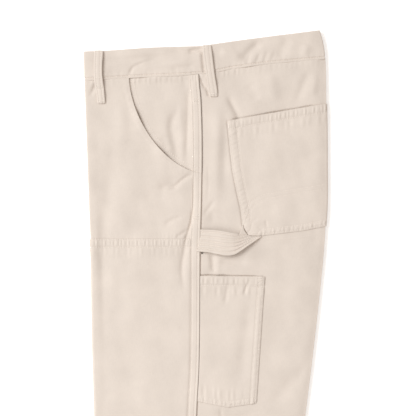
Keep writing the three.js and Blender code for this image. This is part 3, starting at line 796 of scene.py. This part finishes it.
def folded_columns(side, hand, starts, counts):
    """Columns from a start line to a crease, round it, and back to an end line."""
    outer_count, crease_count, inner_count = counts
    outer_start, inner_start = starts
    return [*to_crease("outer", side, hand, outer_start, np.linspace(0, 1, outer_count)),
            *round_crease(-90, crease_count),
            *to_crease("inner", side, hand, inner_start, np.linspace(1, 0, inner_count)[1:])]


def panel_sheet(side, hand, offsets, counts, rows):
    """A folded panel. Its first columns lie at offsets from the side seam."""
    starts = (partial(beside_seam, hand, offsets[-1]), partial(inner_end, hand))
    columns = [("outer", partial(beside_seam, hand, offset)) for offset in offsets[:-1]]
    columns += folded_columns(side, hand, starts, counts)
    return sheet_of(columns, lambda column: side_columns(side, hand, column, rows))


def patch_sheet(hand, rows, spacing, start, turn=0):
    """Cloth that lies on an upper panel, from an offset beside the seam, and turns round the crease."""
    shares = np.linspace(0, 1, int(WIDEST_PATCH / spacing))
    columns = to_crease("outer", UPPER, hand, partial(beside_seam, hand, start), shares)
    columns += round_crease(90 - turn, PATCH_CREASE_COUNT) if turn else []
    return sheet_of(columns, lambda column: side_columns(UPPER, hand, column, rows))


def rows_between(*stretches):
    """Row places: each stretch is a start, an end and a spacing."""
    parts = [np.arange(start, end, step) for start, end, step in stretches]
    return np.append(np.concatenate(parts), stretches[-1][1])


WIDEST_PATCH = 175
LOWER_LEG_ROWS = ((590, 1056, 7.5), (1056, LENGTH, 1.5))
FRONT_ROWS = rows_between((ROW_START, 335, 1.9), (335, 590, 3.0), *LOWER_LEG_ROWS)
BACK_ROWS = rows_between((ROW_START, 100, 1.9), (100, 134, 1.0), (134, 344, 1.9), (344, 357, 0.8),
                         (357, 590, 3.0), *LOWER_LEG_ROWS)
UNDER_ROWS = rows_between((ROW_START, 300, 7.0), (300, 1056, 12.0), (1056, LENGTH, 3.0))
FELL_COLUMNS = [0, 0.5, 1.2, 2.0, 2.5, 2.9, 3.3, 3.9, 5.0, 6.3, 7.6, 9.0, 9.9, 10.5, 11.0, 11.4, 11.9,
                12.3, 12.6, 12.8, 12.92, 12.98, 13.4, 14.2]
FRONT_COLUMNS = [*FELL_COLUMNS, *np.arange(15.2, 58, 1.3)]
BACK_COLUMNS = [0, 0.4, 0.9, 1.5, 2.3, 3.2, 4.4, *np.arange(5.8, 36, 1.5), *np.arange(36.5, 63, 1.05)]
UNDER_COLUMNS = [0, 1.0, 2.4, 2.9, 3.4, 6, 10.4, 11.0, 11.6, 14]
FRONT_COUNTS = (46, 11, 9)  # so many columns lie on the outer side, round the crease and on the inner side
BACK_COUNTS = (56, 11, 9)
UNDER_COUNTS = (16, 9, 9)
PATCH_CREASE_COUNT = 10

# The felled side seam, stitch grooves and puckers. A stitch line is a distance in from an edge.
FELL_LINES = (2.9, 11.0)
FELL_END = 12.98
FELL_TILT = 0.95  # the felled seam is thickest at its folded edge
HEM_LINE = HEM_HEIGHT - 2.0
PATCH_START = FELL_WIDTH + 1.45
POCKET_START = 1.0
GROOVE = 0.5


def groove(distance, width=0.8):
    return GROOVE * bell(distance, width)


def fell_step(from_edge):
    tilt = FELL_TILT * np.clip(1 - from_edge / FELL_WIDTH, 0, 1)
    rounding = 0.2 * fade(FELL_END - from_edge, 0.2)
    return (FELL_RAISE - rounding) * smooth((FELL_END - from_edge) / 0.06) + tilt


def fell_sewing(from_edge, down):
    return 0.12 * ripple(down, 7.5) * bell(from_edge - 7, 3.0) - 1.3 * sum(
        groove(from_edge - line) for line in FELL_LINES)


def seam_detail(hand, x, down):
    """Extra height of a panel's outer face: the felled seam, its stitch grooves and the hem."""
    from_edge = side_seam(down) - SEAM / 2 - x
    from_hem = LENGTH - down
    if hand < 0:
        lift = fell_step(from_edge) + fell_sewing(from_edge, down) - 0.3 * fade(from_edge, 0.7)
    else:
        lift = -1.1 * fade(-from_edge - SEAM, 1.0)
    return (lift + HEM_RAISE * smooth((HEM_HEIGHT + 1.0 - from_hem) / 2.0)
            - groove(from_hem - HEM_LINE, 1.3) + 0.15 * ripple(x, 9.0) * bell(from_hem - 11, 6.0))


def seam_pucker(x, down):
    """Small waves of a panel beside the waistband seam."""
    return 0.65 * pucker(x, 7.5) * bell(down - band_seam(x) - 4, 5.0)


def patch_head_pucker(x, down):
    """Puckers of the front just above the patch's upper stitching."""
    above = PATCH_DOWN - down
    on_front = smooth((side_seam(down) - FELL_WIDTH - 2 - x) / 4)
    return 0.5 * pucker(x, PATCH_PERIOD) * bell(above - 3, 5.0) * smooth((above + 0.5) / 2.5) * on_front


# The pocket opening, with two places where it gapes
OPENING_BULGES = ((-93.5, 122.0), (-61.5, 173.5))
BULGE_REACH = 13.0
OPENING_LINES = (1.9, 7.2)
OPENING_ENDS = (40, 26)  # the front lies down again over so much of the opening at its two ends
OPENING_STAND = 0.7
BULGE_STAND = 2.8
STAND_WIDTH = 9.0
OPENING_BAND = 8.2
ABOVE_PANEL = OPENING_DOWN - 60
OPENING_FOOT = OPENING_DOWN + OPENING_DROP


def opening_edge(grow=0.0, count=60):
    angles = np.radians(np.linspace(0, 90, count))
    x = OPENING_X - (OPENING_WIDTH + grow) * np.cos(angles) ** (2 / OPENING_POWER)
    down = OPENING_DOWN + OPENING_DROP * np.sin(angles) ** (2 / OPENING_POWER)
    return list(zip(x, down))


OPENING_OUTLINE = [(OPENING_X + 40, ABOVE_PANEL), (OPENING_X - OPENING_WIDTH, ABOVE_PANEL),
                   *opening_edge(), (OPENING_X + 40, OPENING_FOOT)]


def bulge_share(place, x, down):
    return bell(np.hypot(x - place[0], down - place[1]), BULGE_REACH)


def opening_gape(x, down):
    """How the front stands off along the pocket opening, and its stitched band."""
    distance, along, length = along_line(opening_edge(), x, down)
    open_share = smooth(along / OPENING_ENDS[0]) * smooth((length - along) / OPENING_ENDS[1])
    bulge = sum(bulge_share(place, x, down) for place in OPENING_BULGES)
    stand = (OPENING_STAND + BULGE_STAND * bulge) * open_share * bell(distance, STAND_WIDTH)
    band = 0.5 * smooth((OPENING_BAND - distance) / 1.8)
    band += 0.12 * ripple(along, 8.5) * bell(distance - 4.5, 2.5)
    band -= 1.2 * sum(groove(distance - line, 0.9) for line in OPENING_LINES)
    near = (x < OPENING_X - 2) & (down < OPENING_FOOT + 14)
    return np.where(near, stand + band, 0)


# The panel's sinks along the pockets' mouths. Deeper places have a middle, a width and a depth, and
# hollows above the mouth a middle, a width, a depth and a reach.
SLOT_WIDTH = 0.9
SLOT_SHIFT = 0.6
BACK_SLOT = {"start": 36, "end": 160, "depth": 1.6,
             "deeper": [(47, 5, 2.4), (98, 15, 1.6), (146, 9, 1.2)],
             "shaded": [(98, 16, 1.1, 9.0), (143, 10, 0.7, 6.0), (46, 5, 1.3, 5.0)]}
TOOL_SLOT = {"start": -12, "end": 80, "depth": 1.5,
             "deeper": [(4, 9, 1.4), (25, 8, 1.4), (52, 16, 0.6)],
             "shaded": [(5, 6, 1.4, 8.0), (24, 7, 1.0, 5.0)]}


def mouth_slot(outline, mouth, slot, x, down):
    """How far the panel sinks along a pocket's mouth: a narrow slot, and softer hollows above it."""
    distance = edge_distances(outline, x, down)[mouth]
    depth = slot["depth"] + sum(more * bell(x - at, width) for at, width, more in slot["deeper"])
    share = smooth((x - slot["start"]) / 6) * smooth((slot["end"] - x) / 14)
    under = smooth((3 - distance) / 3)
    return depth * share * bell(distance + SLOT_SHIFT, SLOT_WIDTH) + sum(
        hollow * under * fade(-distance - SLOT_SHIFT, reach) * bell(x - at, width)
        for at, width, hollow, reach in slot["shaded"])


def back_panel_sinks(x, down):
    return (mouth_slot(BACK_POCKET, BACK_MOUTH, BACK_SLOT, x, down)
            + mouth_slot(TOOL_POCKET, TOOL_MOUTH, TOOL_SLOT, x, down)
            + 1.1 * bell(along_line(POCKET_SIDE, x, down)[0], 1.2))


# The pieces of cloth. Each function gives a sheet and the lifts of its outer and inner face.
UNCUT = 50.0


def upper_panel(hand):
    if hand < 0:
        sheet = panel_sheet(UPPER, hand, FRONT_COLUMNS, FRONT_COUNTS, FRONT_ROWS)
        x, down = sheet["plan"].T
        clear = -inside_polygon(OPENING_OUTLINE, x, down)
    else:
        sheet = panel_sheet(UPPER, hand, BACK_COLUMNS, BACK_COUNTS, BACK_ROWS)
        x, down = sheet["plan"].T
        clear = np.hypot((x - LOOP_HOLE[0]) / 1.3, down - LOOP_HOLE[1]) - LOOP_HOLE_RADIUS
    outside = (sheet["normal"][:, 2] > 0.5) | (np.abs(sheet["normal"][:, 0]) > 0.1)
    sheet = trimmed(sheet, np.where(outside, clear, UNCUT))
    x, down = sheet["plan"].T
    outer = sheet["normal"][:, 2] > 0.95
    bend = seam_pucker(x, down)
    bend += patch_head_pucker(x, down) + opening_gape(x, down) if hand < 0 else -back_panel_sinks(x, down)
    bend = np.where(outer, bend, 0)
    return sheet, bend + np.where(outer, seam_detail(hand, x, down), 0), bend - CLOTH


def lower_panel(hand):
    sheet = panel_sheet(LOWER, hand, UNDER_COLUMNS, UNDER_COUNTS, UNDER_ROWS)
    x, down = sheet["plan"].T
    from_edge = np.abs(side_seam(down) - x) - SEAM / 2
    lines = sum(groove(from_edge - line) for line in FELL_LINES) if hand < 0 else 0
    lines += groove(LENGTH - down - HEM_LINE - LOWER_HEM_INSET, 1.5)
    return sheet, np.where(sheet["normal"][:, 2] < -0.95, -lines, 0.0), np.full(len(x), -CLOTH)


BAND_LINE = 3.3
BAND_DEPTH = 41.5
BAND_WIDEST = 170
BAND_COUNTS = (13, 10)  # columns round the crease and on the inner side
BAND_TUCKS = {-1: FLY_TUCK_X - SEAM / 2, 1: SEAT_TUCK_X + SEAM / 2}
BAND_GUESS = {-1: 51.0, 1: 20.0}  # about how far down each half's upper edge lies
NEAR_SEAM = np.array([6.4, 5.4, 4.6, 4.1, 3.7, 3.3, 2.9, 2.5, 2.0, 1.5, 1.0, 0.6, 0.3, 0.0])
BAND_SHARES = np.array([0, 0.01, 0.03, 0.06, *np.linspace(0.10, 0.80, 17), *(1 - NEAR_SEAM / BAND_DEPTH)])


def waistband(side, spacing):
    def columns(hand):
        starts = (side_seam, lambda down: BAND_TUCKS[hand])
        counts = (int(BAND_WIDEST / spacing), *BAND_COUNTS)
        return [(hand, column) for column in folded_columns(side, hand, starts, counts)]

    def points(entry):
        hand, column = entry
        down = np.full(len(BAND_SHARES), BAND_GUESS[hand])
        for _ in range(2):
            x = skin(side, hand, column, down)[0]
            down = mix(band_top(x), band_seam(x), BAND_SHARES)
        return (*skin(side, hand, column, down), down)

    sheet = sheet_of(columns(-1)[::-1] + columns(1)[1:], points)
    x, down = sheet["plan"].T
    above_seam = band_seam(x) - down
    top = -2.3 * groove(above_seam - BAND_LINE)
    if side["out"] > 0:
        waves = 0.2 * ripple(x, 8.0, 0.7) * bell(above_seam - 5, 4.0)
        top += np.where(np.abs(sheet["normal"][:, 2]) > 0.95, waves, 0)
    roll = 0.35 * np.exp((band_top(x) - down) / 0.9) + 0.45 * np.exp(-above_seam / 0.7)
    return sheet, top - roll, 0.8 * roll - BAND


FACING_LEVEL = -CLOTH - FACING_GAP
FACING_REACH = OPENING_WIDTH + FACING_TUCK + 4
FACING_COLUMNS = [*FELL_COLUMNS, *np.arange(15.2, 46, 1.5), *np.arange(46, 100, 1.0),
                  *np.arange(100, FACING_REACH, 2.2)]
FACING_ROWS = rows_between((ROW_START, 108, 2.0), (108, 186, 1.1), (186, 212, 2.0))


def hip_facing():
    """It lies level with the front on the felled seam and at its ends, and below it in between."""
    def points(offset):
        bent = row_down(FACING_ROWS, beside_seam(-1, offset, FACING_ROWS), SEAM)
        x = beside_seam(-1, offset, bent)
        slope = smooth((offset - FELL_WIDTH - 0.4) / (FACING_SLOPE - 0.4))
        at_band = 1 - smooth((bent - band_seam(x) - 1) / 9)
        at_band *= smooth((x - OPENING_X + OPENING_WIDTH - 1) / 9)
        level = fell_step(offset) + FACING_LEVEL * slope * (1 - 0.95 * at_band)
        normal = np.tile((0.0, 0.0, 1.0), (len(bent), 1))
        return x, panel_top(x, bent) + level, normal, -offset + 0 * bent, bent

    sheet = sheet_of(FACING_COLUMNS, points)
    ends = OPENING_X - FELL_WIDTH - FACING_SLOPE - 1
    hidden = [p for p in opening_edge(FACING_TUCK) if p[0] < ends]
    shown = [(x, down - 0.5) for x, down in opening_edge(0, 120) if x >= ends]
    outline = [(10, 40), (hidden[0][0], 40), *hidden, *shown, (10, 203.0)]
    sheet = trimmed(sheet, inside_polygon(outline, *sheet["plan"].T))
    x, down = sheet["plan"].T
    from_edge = side_seam(down) - SEAM / 2 - x
    top = fell_sewing(from_edge, down) + seam_pucker(x, down) - 0.25 * fade(from_edge, 0.8)
    bulge = sum(bulge_share(place, x, down) for place in OPENING_BULGES)
    hollow = 0.5 * bulge_share(OPENING_BULGES[1], x, down)
    slot = 1.4 * bulge * bell(along_line(opening_edge(), x, down)[0] - 0.6, 1.5)
    return sheet, top - hollow - slot, -CLOTH - hollow - 0.5 * slot


EDGE_PRESS = 0.55
PATCH_SPACING = 1.25
POCKET_SPACING = 1.2
PATCH_LIFT = SEAM + 0.05
PATCH_FOOT = PATCH_DOWN + PATCH_LENGTH
PATCH_LINES = (1.6, 12.0)
SIDE_LINES = (1.8, 12.6)
FOOT_LINES = (1.8, 8.2)
BACK_MOUTH_LINE = 11.6
TOOL_MOUTH_LINE = 13.2
TOOL_SIDE_LINES = (1.7, 8.8)
TOOL_FOOT_LINES = (1.7, 7.0)
FOOT_ROW = [(84.0, 298.2), (104.0, 298.4), (128.0, 296.8), (150.0, 293.2)]
REINFORCEMENT = [
    [(55, 268), (60, 252), (69, 241), (84, 235), (120, 229), (168, 221)],
    [(58, 272), (64, 257), (72, 247), (86, 241), (120, 235), (168, 227)],
]


def grooves(distance, lines, depths, widths=(0.8, 0.9)):
    """Stitch grooves at lines in from an edge."""
    return sum(depth * groove(distance - line, width) for line, depth, width in zip(lines, depths, widths))


def puckers(strength, along, period, phase, distance, width):
    """A row of needle puckers, at a distance from its line."""
    return strength * pucker(along, period, phase) * bell(distance, width)


def front_patch():
    rows = rows_between((PATCH_DOWN - 2, 318, 1.1), (318, 345, 1.8), (345, 590, 3.4),
                        (590, 725, 6.0), (725, PATCH_FOOT + 2, 1.6))
    sheet = patch_sheet(-1, rows, PATCH_SPACING, PATCH_START, PATCH_TURN)
    down = sheet["plan"][:, 1]
    sheet = trimmed(sheet, np.minimum(down - PATCH_DOWN, PATCH_FOOT - down))
    x, down = sheet["plan"].T
    below, above = down - PATCH_DOWN, PATCH_FOOT - down
    top = (puckers(0.95, x, PATCH_PERIOD, 0, below - 6.0, 4.4) + puckers(0.4, x, 8.4, 1.0, below - 18, 7.0)
           + puckers(0.6, sheet["cloth"][:, 0], 6.2, 2.0, above - 6.5, 4.0))
    top -= grooves(below, PATCH_LINES, (0.3, 2.0)) + grooves(above, PATCH_LINES, (1, 1))
    top -= 0.95 * fade(below, 1.1) + 0.5 * fade(above, 0.9)
    top -= 0.6 * fade(side_seam(down) - SEAM / 2 - PATCH_START - x, 1.5)
    lift = PATCH_LIFT - 0.2 * fade(below, 3.0)
    return sheet, top + lift + CLOTH, lift


def back_pocket():
    sheet = patch_sheet(1, rows_between((100, 300, 1.55)), POCKET_SPACING, 25.0, PATCH_TURN)
    sheet = trimmed(sheet, inside_polygon(BACK_POCKET, *sheet["plan"].T))
    x, down = sheet["plan"].T
    across = sheet["cloth"][:, 0]
    left, bottom = (along_line(line, x, down)[0] for line in (POCKET_SIDE, POCKET_FOOT))
    mouth = np.abs(edge_distances(BACK_POCKET, x, down)[BACK_MOUTH])
    strong = 0.55 + 0.45 * smooth((x - 60) / 50)
    bend = (puckers(1.1 * strong, across, 6.0, 0, mouth - 6, 4.0)
            + puckers(0.6, across, 11.0, 1.5, mouth - 20, 7.0)
            + puckers(0.9, across, 6.6, 0.4, bottom - 4.6, 3.0)
            + puckers(0.8, down + 0.4 * x, 7.0, 0, left - 7, 3.8))
    bend += 0.8 * bell(mouth, 7.0) * smooth((x - 38) / 16) * smooth((150 - x) / 40)
    top = bend + 0.45 * smooth((13.0 - mouth) / 2.0) - 1.8 * groove(mouth - BACK_MOUTH_LINE, 0.9)
    top -= grooves(left, SIDE_LINES, (1.2, 0.9)) + grooves(bottom, FOOT_LINES, (1, 1))
    top -= 0.9 * sum(groove(along_line(line, x, down)[0], 0.9) for line in REINFORCEMENT)
    top -= EDGE_PRESS * (fade(bottom, 1.4) + 0.6 * fade(left, 1.4))
    flat = sheet["normal"][:, 2] >= 0.9
    return sheet, top * flat + PATCH_LIFT + CLOTH, bend * flat + PATCH_LIFT


def tool_pocket():
    sheet = patch_sheet(1, rows_between((345, 545, 1.5)), POCKET_SPACING, POCKET_START)
    under_seam = [(-40, down) for _, down in TOOL_POCKET[:2]]
    sheet = trimmed(sheet, inside_polygon([*under_seam, *TOOL_POCKET[1:]], *sheet["plan"].T))
    x, down = sheet["plan"].T
    _, *feet, right, mouth = (np.abs(distance) for distance in edge_distances(TOOL_POCKET, x, down))
    bottom = np.minimum(*feet)
    bend = (puckers(1.0, x, 7.2, 0, mouth - 7, 4.2) * smooth((86 - x) / 20)
            + puckers(0.7, x, 10.0, 0.8, mouth - 21, 7.0)
            + puckers(0.8, x, 6.6, 0.4, bottom - 4, 3.2)
            + puckers(0.7, x, 9.5, 0.3, bottom - 15, 9.0) * smooth((62 - x) / 20)
            + puckers(0.7, down, 9.0, 0, right - 5.0, 3.4))
    bend += 0.9 * bell(mouth, 5.0) * (bell(x - 6, 7.0) + 0.8 * bell(x - 24, 8.0))
    top = bend + 0.4 * smooth((14.5 - mouth) / 2.0) - 2.2 * groove(mouth - TOOL_MOUTH_LINE, 0.9)
    top -= grooves(right, TOOL_SIDE_LINES, (1, 1.4)) + grooves(bottom, TOOL_FOOT_LINES, (1, 1))
    top -= EDGE_PRESS * (fade(right, 1.4) + fade(bottom, 1.4))
    return sheet, top + PATCH_LIFT + CLOTH, bend + PATCH_LIFT


HAMMER_LINES = (0.10, 0.31, 0.51, 0.68, 0.86)
HAMMER_GRID = (110, 43)
HAMMER_WIDTH = 31
HAMMER_LENGTH = 95
HAMMER_END = [(47.0, 292.5), *STRAP_EDGE[6:]]


def smooth_rows(rows, count):
    """More points along a list of points, on a smooth curve through them."""
    rows = np.asarray(rows, float)
    table = dict(enumerate(rows.T), k=np.arange(len(rows)))
    at = np.linspace(0, len(rows) - 1, count)
    return np.stack([look_up(table, "k", column, at) for column in range(rows.shape[1])], axis=-1)


def strap_line(share):
    """A line along the hammer loop, at a share of the way from its upper edge to its lower edge."""
    return mix(smooth_rows(STRAP_EDGE, 60), smooth_rows(HAMMER_LOOP["lower"], 60)[:, :2], share)


def hammer_loop():
    count, across = HAMMER_GRID
    t = np.linspace(0, 1, across)
    weights = {"upper": (1 - t) * (1 - 2 * t), "middle": 4 * t * (1 - t), "lower": t * (2 * t - 1)}
    places = sum(smooth_rows(HAMMER_LOOP[key], count)[:, None, :] * weight[None, :, None]
                 for key, weight in weights.items())
    places[..., 2] += panel_top(places[..., 0], places[..., 1])
    sheet = strap_sheet(places, t * HAMMER_WIDTH)
    along = np.repeat(np.linspace(0, HAMMER_LENGTH, count), across)
    top = STRAP + 0.08 * ripple(along, 9.0) * np.sin(np.tile(t, count) * math.pi)
    for line in HAMMER_LINES:
        top -= 2.9 * groove(along_line(strap_line(line), *sheet["plan"].T)[0], 1.15)
    top -= 2.0 * groove(along_line(HAMMER_END, *sheet["plan"].T)[0], 0.9)
    return sheet, top, 0 * top


LOOP_LINES = (-3.0, 3.0)
LOOP_GRID = (64, 17)


def loop_places(loop):
    """A belt loop's grid of points, and how far each column lies from its middle."""
    count, across = LOOP_GRID
    down = np.linspace(loop["down"][0], loop["down"][-1], count)
    centre, width, bow = (look_up(loop, "down", key, down) for key in ("x", "width", "rise"))
    corner = np.minimum(down - down[0], down[-1] - down)
    width = width - 2.0 * (1 - smooth(corner / 1.8)) ** 2
    on_panel = smooth((down - band_seam(centre) - 3) / 18)
    face = mix(band_face(centre, down), panel_top(centre, down), on_panel)
    shares = np.linspace(-0.5, 0.5, across)
    x = centre[:, None] + shares * width[:, None]
    down, height = (np.tile(values[:, None], across) for values in (down, face + LOOP_FOOT + bow))
    return np.stack([x, down, height], axis=-1), shares * LOOP_WIDTH


def belt_loop(loop):
    places, offsets = loop_places(loop)
    sheet = strap_sheet(places, offsets)
    aside = np.tile(offsets, LOOP_GRID[0])
    top = STRAP - sum(groove(aside - line, 0.9) for line in LOOP_LINES)
    top -= 0.5 * np.abs(aside / 6.0) ** 4 + 0.6 * bell(sheet["plan"][:, 1] - loop["tack"], 1.2)
    return sheet, top, 0 * top


def dress(obj, slot, nodes=(), flat=None, area=None, rests_on=()):
    """Rides on the frame and stands for its nodes."""
    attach(obj, "root")
    if nodes:
        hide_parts(*nodes)
    return obj


# Each solid's piece: its shell, its slot, its flat size and area in metres, and what it lies on
PIECES = {
    "left_front": (upper_panel(-1), "canvas", (0.30, 1.02), 0.24),
    "left_back": (upper_panel(1), "canvas", (0.36, 1.05), 0.29),
    "right_front": (lower_panel(-1), "canvas", (0.30, 1.02), 0.25),
    "right_back": (lower_panel(1), "canvas", (0.36, 1.05), 0.29),
    "waistband_left": (waistband(UPPER_BAND, 1.6), "canvas", (0.45, 0.042), None),
    "waistband_right": (waistband(LOWER_BAND, 7.0), "canvas", (0.45, 0.042), None),
    "hip_facing": (hip_facing(), "canvas", (0.13, 0.145), 0.014, ["left_front_cloth"]),
    "front_patch": (front_patch(), "canvas", (0.152, 0.44), None, ["left_front_cloth"]),
    # The pockets and loops take the lighter canvas: painted light.
    "back_pocket": (back_pocket(), "canvas_light", (0.15, 0.19), 0.0235, ["left_back_cloth"]),
    "tool_pocket": (tool_pocket(), "canvas_light", (0.097, 0.19), None, ["left_back_cloth"]),
    "hammer_loop": (hammer_loop(), "canvas_light", (0.031, 0.092), None, ["left_back_cloth"]),
    **{name: (belt_loop(loop), "canvas_light", (0.012, 0.076), None, ["waistband_left_cloth"])
       for name, loop in BELT_LOOPS.items()},
}
cloth_pieces = [
    dress(mesh_object(f"{node}_cloth", CLOTHS[slot], *thick(*shell)), slot, [node], *cut)
    for node, (shell, slot, *cut) in PIECES.items()]

# Stitching: each stitch is a short bent thread that dips into the cloth at both ends. Its rings have a
# place along it, a share of its thickness, and a rise.
STITCH_PITCH = 3.5
STITCH_LENGTH = 2.0
STITCH_RADIUS = 0.38
BOLD_RADIUS = 0.48  # on rows that show lighter than the cloth beside them
STITCH_SIDES = 5
STITCH_RINGS = ((-0.5, 0.25, -0.22), (-0.3, 0.9, 0.0), (0.0, 1.0, 0.1), (0.3, 0.9, 0.0), (0.5, 0.25, -0.22))
UNDER_STITCH = {"pitch": 6.6, "length": 4.6}
UPPER_SINK = -0.08
UNDER_SINK = 0.30
TACK_HALF = 4.4


def stitch_mesh(stitches):
    points, faces = [], []
    around = [2 * math.pi * k / STITCH_SIDES for k in range(STITCH_SIDES)]
    for place, up, length, heading, radius in stitches:
        side = np.cross(up, heading)
        side /= np.linalg.norm(side)
        forward = np.cross(side, up)
        first = len(points)
        for share, girth, rise in STITCH_RINGS:
            middle = place + forward * share * length + up * rise
            points += [middle + girth * radius * (side * math.cos(a) + up * math.sin(a)) for a in around]
        rings = first + np.arange(len(STITCH_RINGS) * STITCH_SIDES).reshape(-1, STITCH_SIDES)
        for a, b in zip(rings, rings[1:]):
            faces += zip(a, np.roll(a, -1), np.roll(b, -1), b)
        faces += [tuple(rings[0][::-1]), tuple(rings[-1])]
    return points, faces


def surface_of(pieces):
    """A search tree over some pieces, in millimetres."""
    points, polygons = [], []
    for piece in pieces:
        first = len(points)
        points += [tuple(v.co / MM) for v in piece.data.vertices]
        polygons += [tuple(first + i for i in p.vertices) for p in piece.data.polygons]
    return BVHTree.FromPolygons(points, polygons)


UPPER_SKIN = surface_of(piece for piece in cloth_pieces if "right" not in piece.name)
UNDER_SKIN = surface_of(piece for piece in cloth_pieces if "right" in piece.name)


def even_points(line, pitch):
    """Points at an even pitch along a line of (x, down) points, and the line's heading at each."""
    line = np.asarray(line, float)
    run = np.concatenate([[0], np.cumsum(np.hypot(*np.diff(line, axis=0).T))])
    at = np.arange(pitch / 2, run[-1], pitch)
    x, down = np.interp(at, run, line[:, 0]), np.interp(at, run, line[:, 1])
    k = np.clip(np.searchsorted(run, at) - 1, 0, len(line) - 2)
    step = np.diff(line, axis=0)[k]
    return x, down, np.stack([step[:, 0], -step[:, 1], 0 * at], axis=-1)


def stitch_row(line, pitch=STITCH_PITCH, length=STITCH_LENGTH, radius=STITCH_RADIUS, cross=False,
               under=False):
    """Stitches along a line, set on the cloth that is met from above or from below."""
    tree, start, sink = (UNDER_SKIN, -20.0, UNDER_SINK) if under else (UPPER_SKIN, 60.0, UPPER_SINK)
    way = Vector((0, 0, 1 if under else -1))
    stitches = []
    for x, down, towards in zip(*even_points(line, pitch)):
        hit, normal, _, _ = tree.ray_cast(Vector((x, LENGTH / 2 - down, start)), way)
        if hit is None:
            continue
        up = -way * 0.7 + (normal if normal.dot(way) < 0 else -normal) * 0.3
        up = np.array(up.normalized())
        ahead = towards / np.linalg.norm(towards)
        heading = np.array([-ahead[1], ahead[0], 0]) if cross else ahead
        stitches.append((np.array(hit) - up * sink, up, length, heading, radius))
    return stitches


bold_row = partial(stitch_row, radius=BOLD_RADIUS)
under_row = partial(stitch_row, under=True, **UNDER_STITCH)
bar_tack = partial(stitch_row, pitch=0.9, length=2.4, cross=True)


def offset_line(line, distance):
    """A line moved sideways by a distance, to its left as it runs with down pointing up the page."""
    line = np.asarray(line, float)
    step = np.gradient(line, axis=0)
    step /= np.hypot(*step.T)[:, None]
    return line + distance * np.stack([-step[:, 1], step[:, 0]], axis=-1)


def down_the_seam(offset, start, end):
    down = np.linspace(start, end, max(2, int((end - start) / 12)))
    return list(zip(beside_seam(-1, offset, down), down))


def along_band(start, end):
    x = np.linspace(start, end, 60)
    return list(zip(x, band_seam(x) - BAND_LINE))


def along_hem(start, end, above=HEM_LINE):
    return [(start, LENGTH - above), (end, LENGTH - above)]


def across_at(down, start, end):
    """A line across the cloth, between two distances from the side seam."""
    seam_x = float(side_seam(down))
    return [(seam_x + start, down), (seam_x + end, down)]


def inset_edge(outline, edge, distance, trim_start, trim_end):
    """One edge of an outline, moved in, and shortened at its ends."""
    a, b = np.asarray(outline[edge], float), np.asarray(outline[(edge + 1) % len(outline)], float)
    step = (b - a) / np.hypot(*(b - a))
    inward = np.array([step[1], -step[0]])
    return [a + step * trim_start + inward * distance, b - step * trim_end + inward * distance]


def patch_row(down):
    return [(float(front_crease(down)) + 3, down), across_at(down, 0, -13.5)[1]]


def foot_row(distance):
    a, b, c, d = offset_line(POCKET_FOOT, -distance)
    return [a, b, c, mix(c, d, 0.6)]


def seam_stitches():
    return [*(bold_row(down_the_seam(line, 64, LENGTH - HEM_HEIGHT)) for line in FELL_LINES),
            *(stitch_row(along_band(*ends)) for ends in ((-171, -9), (-7, 169))),
            *(bold_row(offset_line(opening_edge()[:-2], -line)[2:]) for line in OPENING_LINES),
            *(stitch_row(along_hem(*ends)) for ends in ((-146, -33), (-29, 86))),
            *(bar_tack(across_at(down, -11.2, -2.6)) for down in (98.5, 101.0, 266.0, 270.0))]


def pocket_stitches():
    tacks = [[(33.5, 131.5), (33.5, 140.5)],
             *([(74.5, down), (82.5, down)] for down in (354.6, 357.2, 359.8)),
             [(66.0, 290.6), (77.0, 291.6)]]
    return [bold_row(patch_row(PATCH_DOWN + PATCH_LINES[0])),
            stitch_row(patch_row(PATCH_DOWN + PATCH_LINES[1])),
            *(stitch_row(patch_row(PATCH_FOOT - line)) for line in PATCH_LINES),
            stitch_row(inset_edge(BACK_POCKET, BACK_MOUTH, BACK_MOUTH_LINE, 21, 2)),
            *(bold_row(offset_line(POCKET_SIDE, -line)) for line in SIDE_LINES),
            *(stitch_row(foot_row(line)) for line in FOOT_LINES),
            *(stitch_row(line) for line in (FOOT_ROW, *REINFORCEMENT)),
            stitch_row(inset_edge(TOOL_POCKET, TOOL_MOUTH, TOOL_MOUTH_LINE, 2, 2)),
            *(bold_row(inset_edge(TOOL_POCKET, 3, line, start, 1))
              for line, start in zip(TOOL_SIDE_LINES, (1, 6))),
            *(stitch_row(inset_edge(TOOL_POCKET, edge, line, *trims))
              for line in TOOL_FOOT_LINES for edge, trims in ((1, (2, 0)), (2, (0, 2)))),
            *map(bar_tack, tacks)]


def loop_stitches():
    rows = [stitch_row(strap_line(share)[1:-3]) for share in HAMMER_LINES]
    for loop in BELT_LOOPS.values():
        places, offsets = loop_places(loop)
        rows += [stitch_row(places[1:-1, np.argmin(np.abs(offsets - line)), :2]) for line in LOOP_LINES]
        for down in (loop["tack"], loop["down"][-1] - 2.2):
            centre = float(look_up(loop, "down", "x", down))
            rows.append(bar_tack([(centre - TACK_HALF, down), (centre + TACK_HALF, down)]))
    return rows


def under_stitches():
    seam_end = LENGTH - HEM_HEIGHT - 4
    return [*(under_row(down_the_seam(line, 66, seam_end)) for line in FELL_LINES),
            *(under_row(along_hem(*ends, HEM_LINE + LOWER_HEM_INSET)) for ends in ((-144, -33), (-28, 84)))]


for stitching in (seam_stitches, pocket_stitches, loop_stitches, under_stitches):
    made = stitch_mesh([stitch for row in stitching() for stitch in row])
    dress(mesh_object(stitching.__name__, THREAD, *made), "canvas_light")
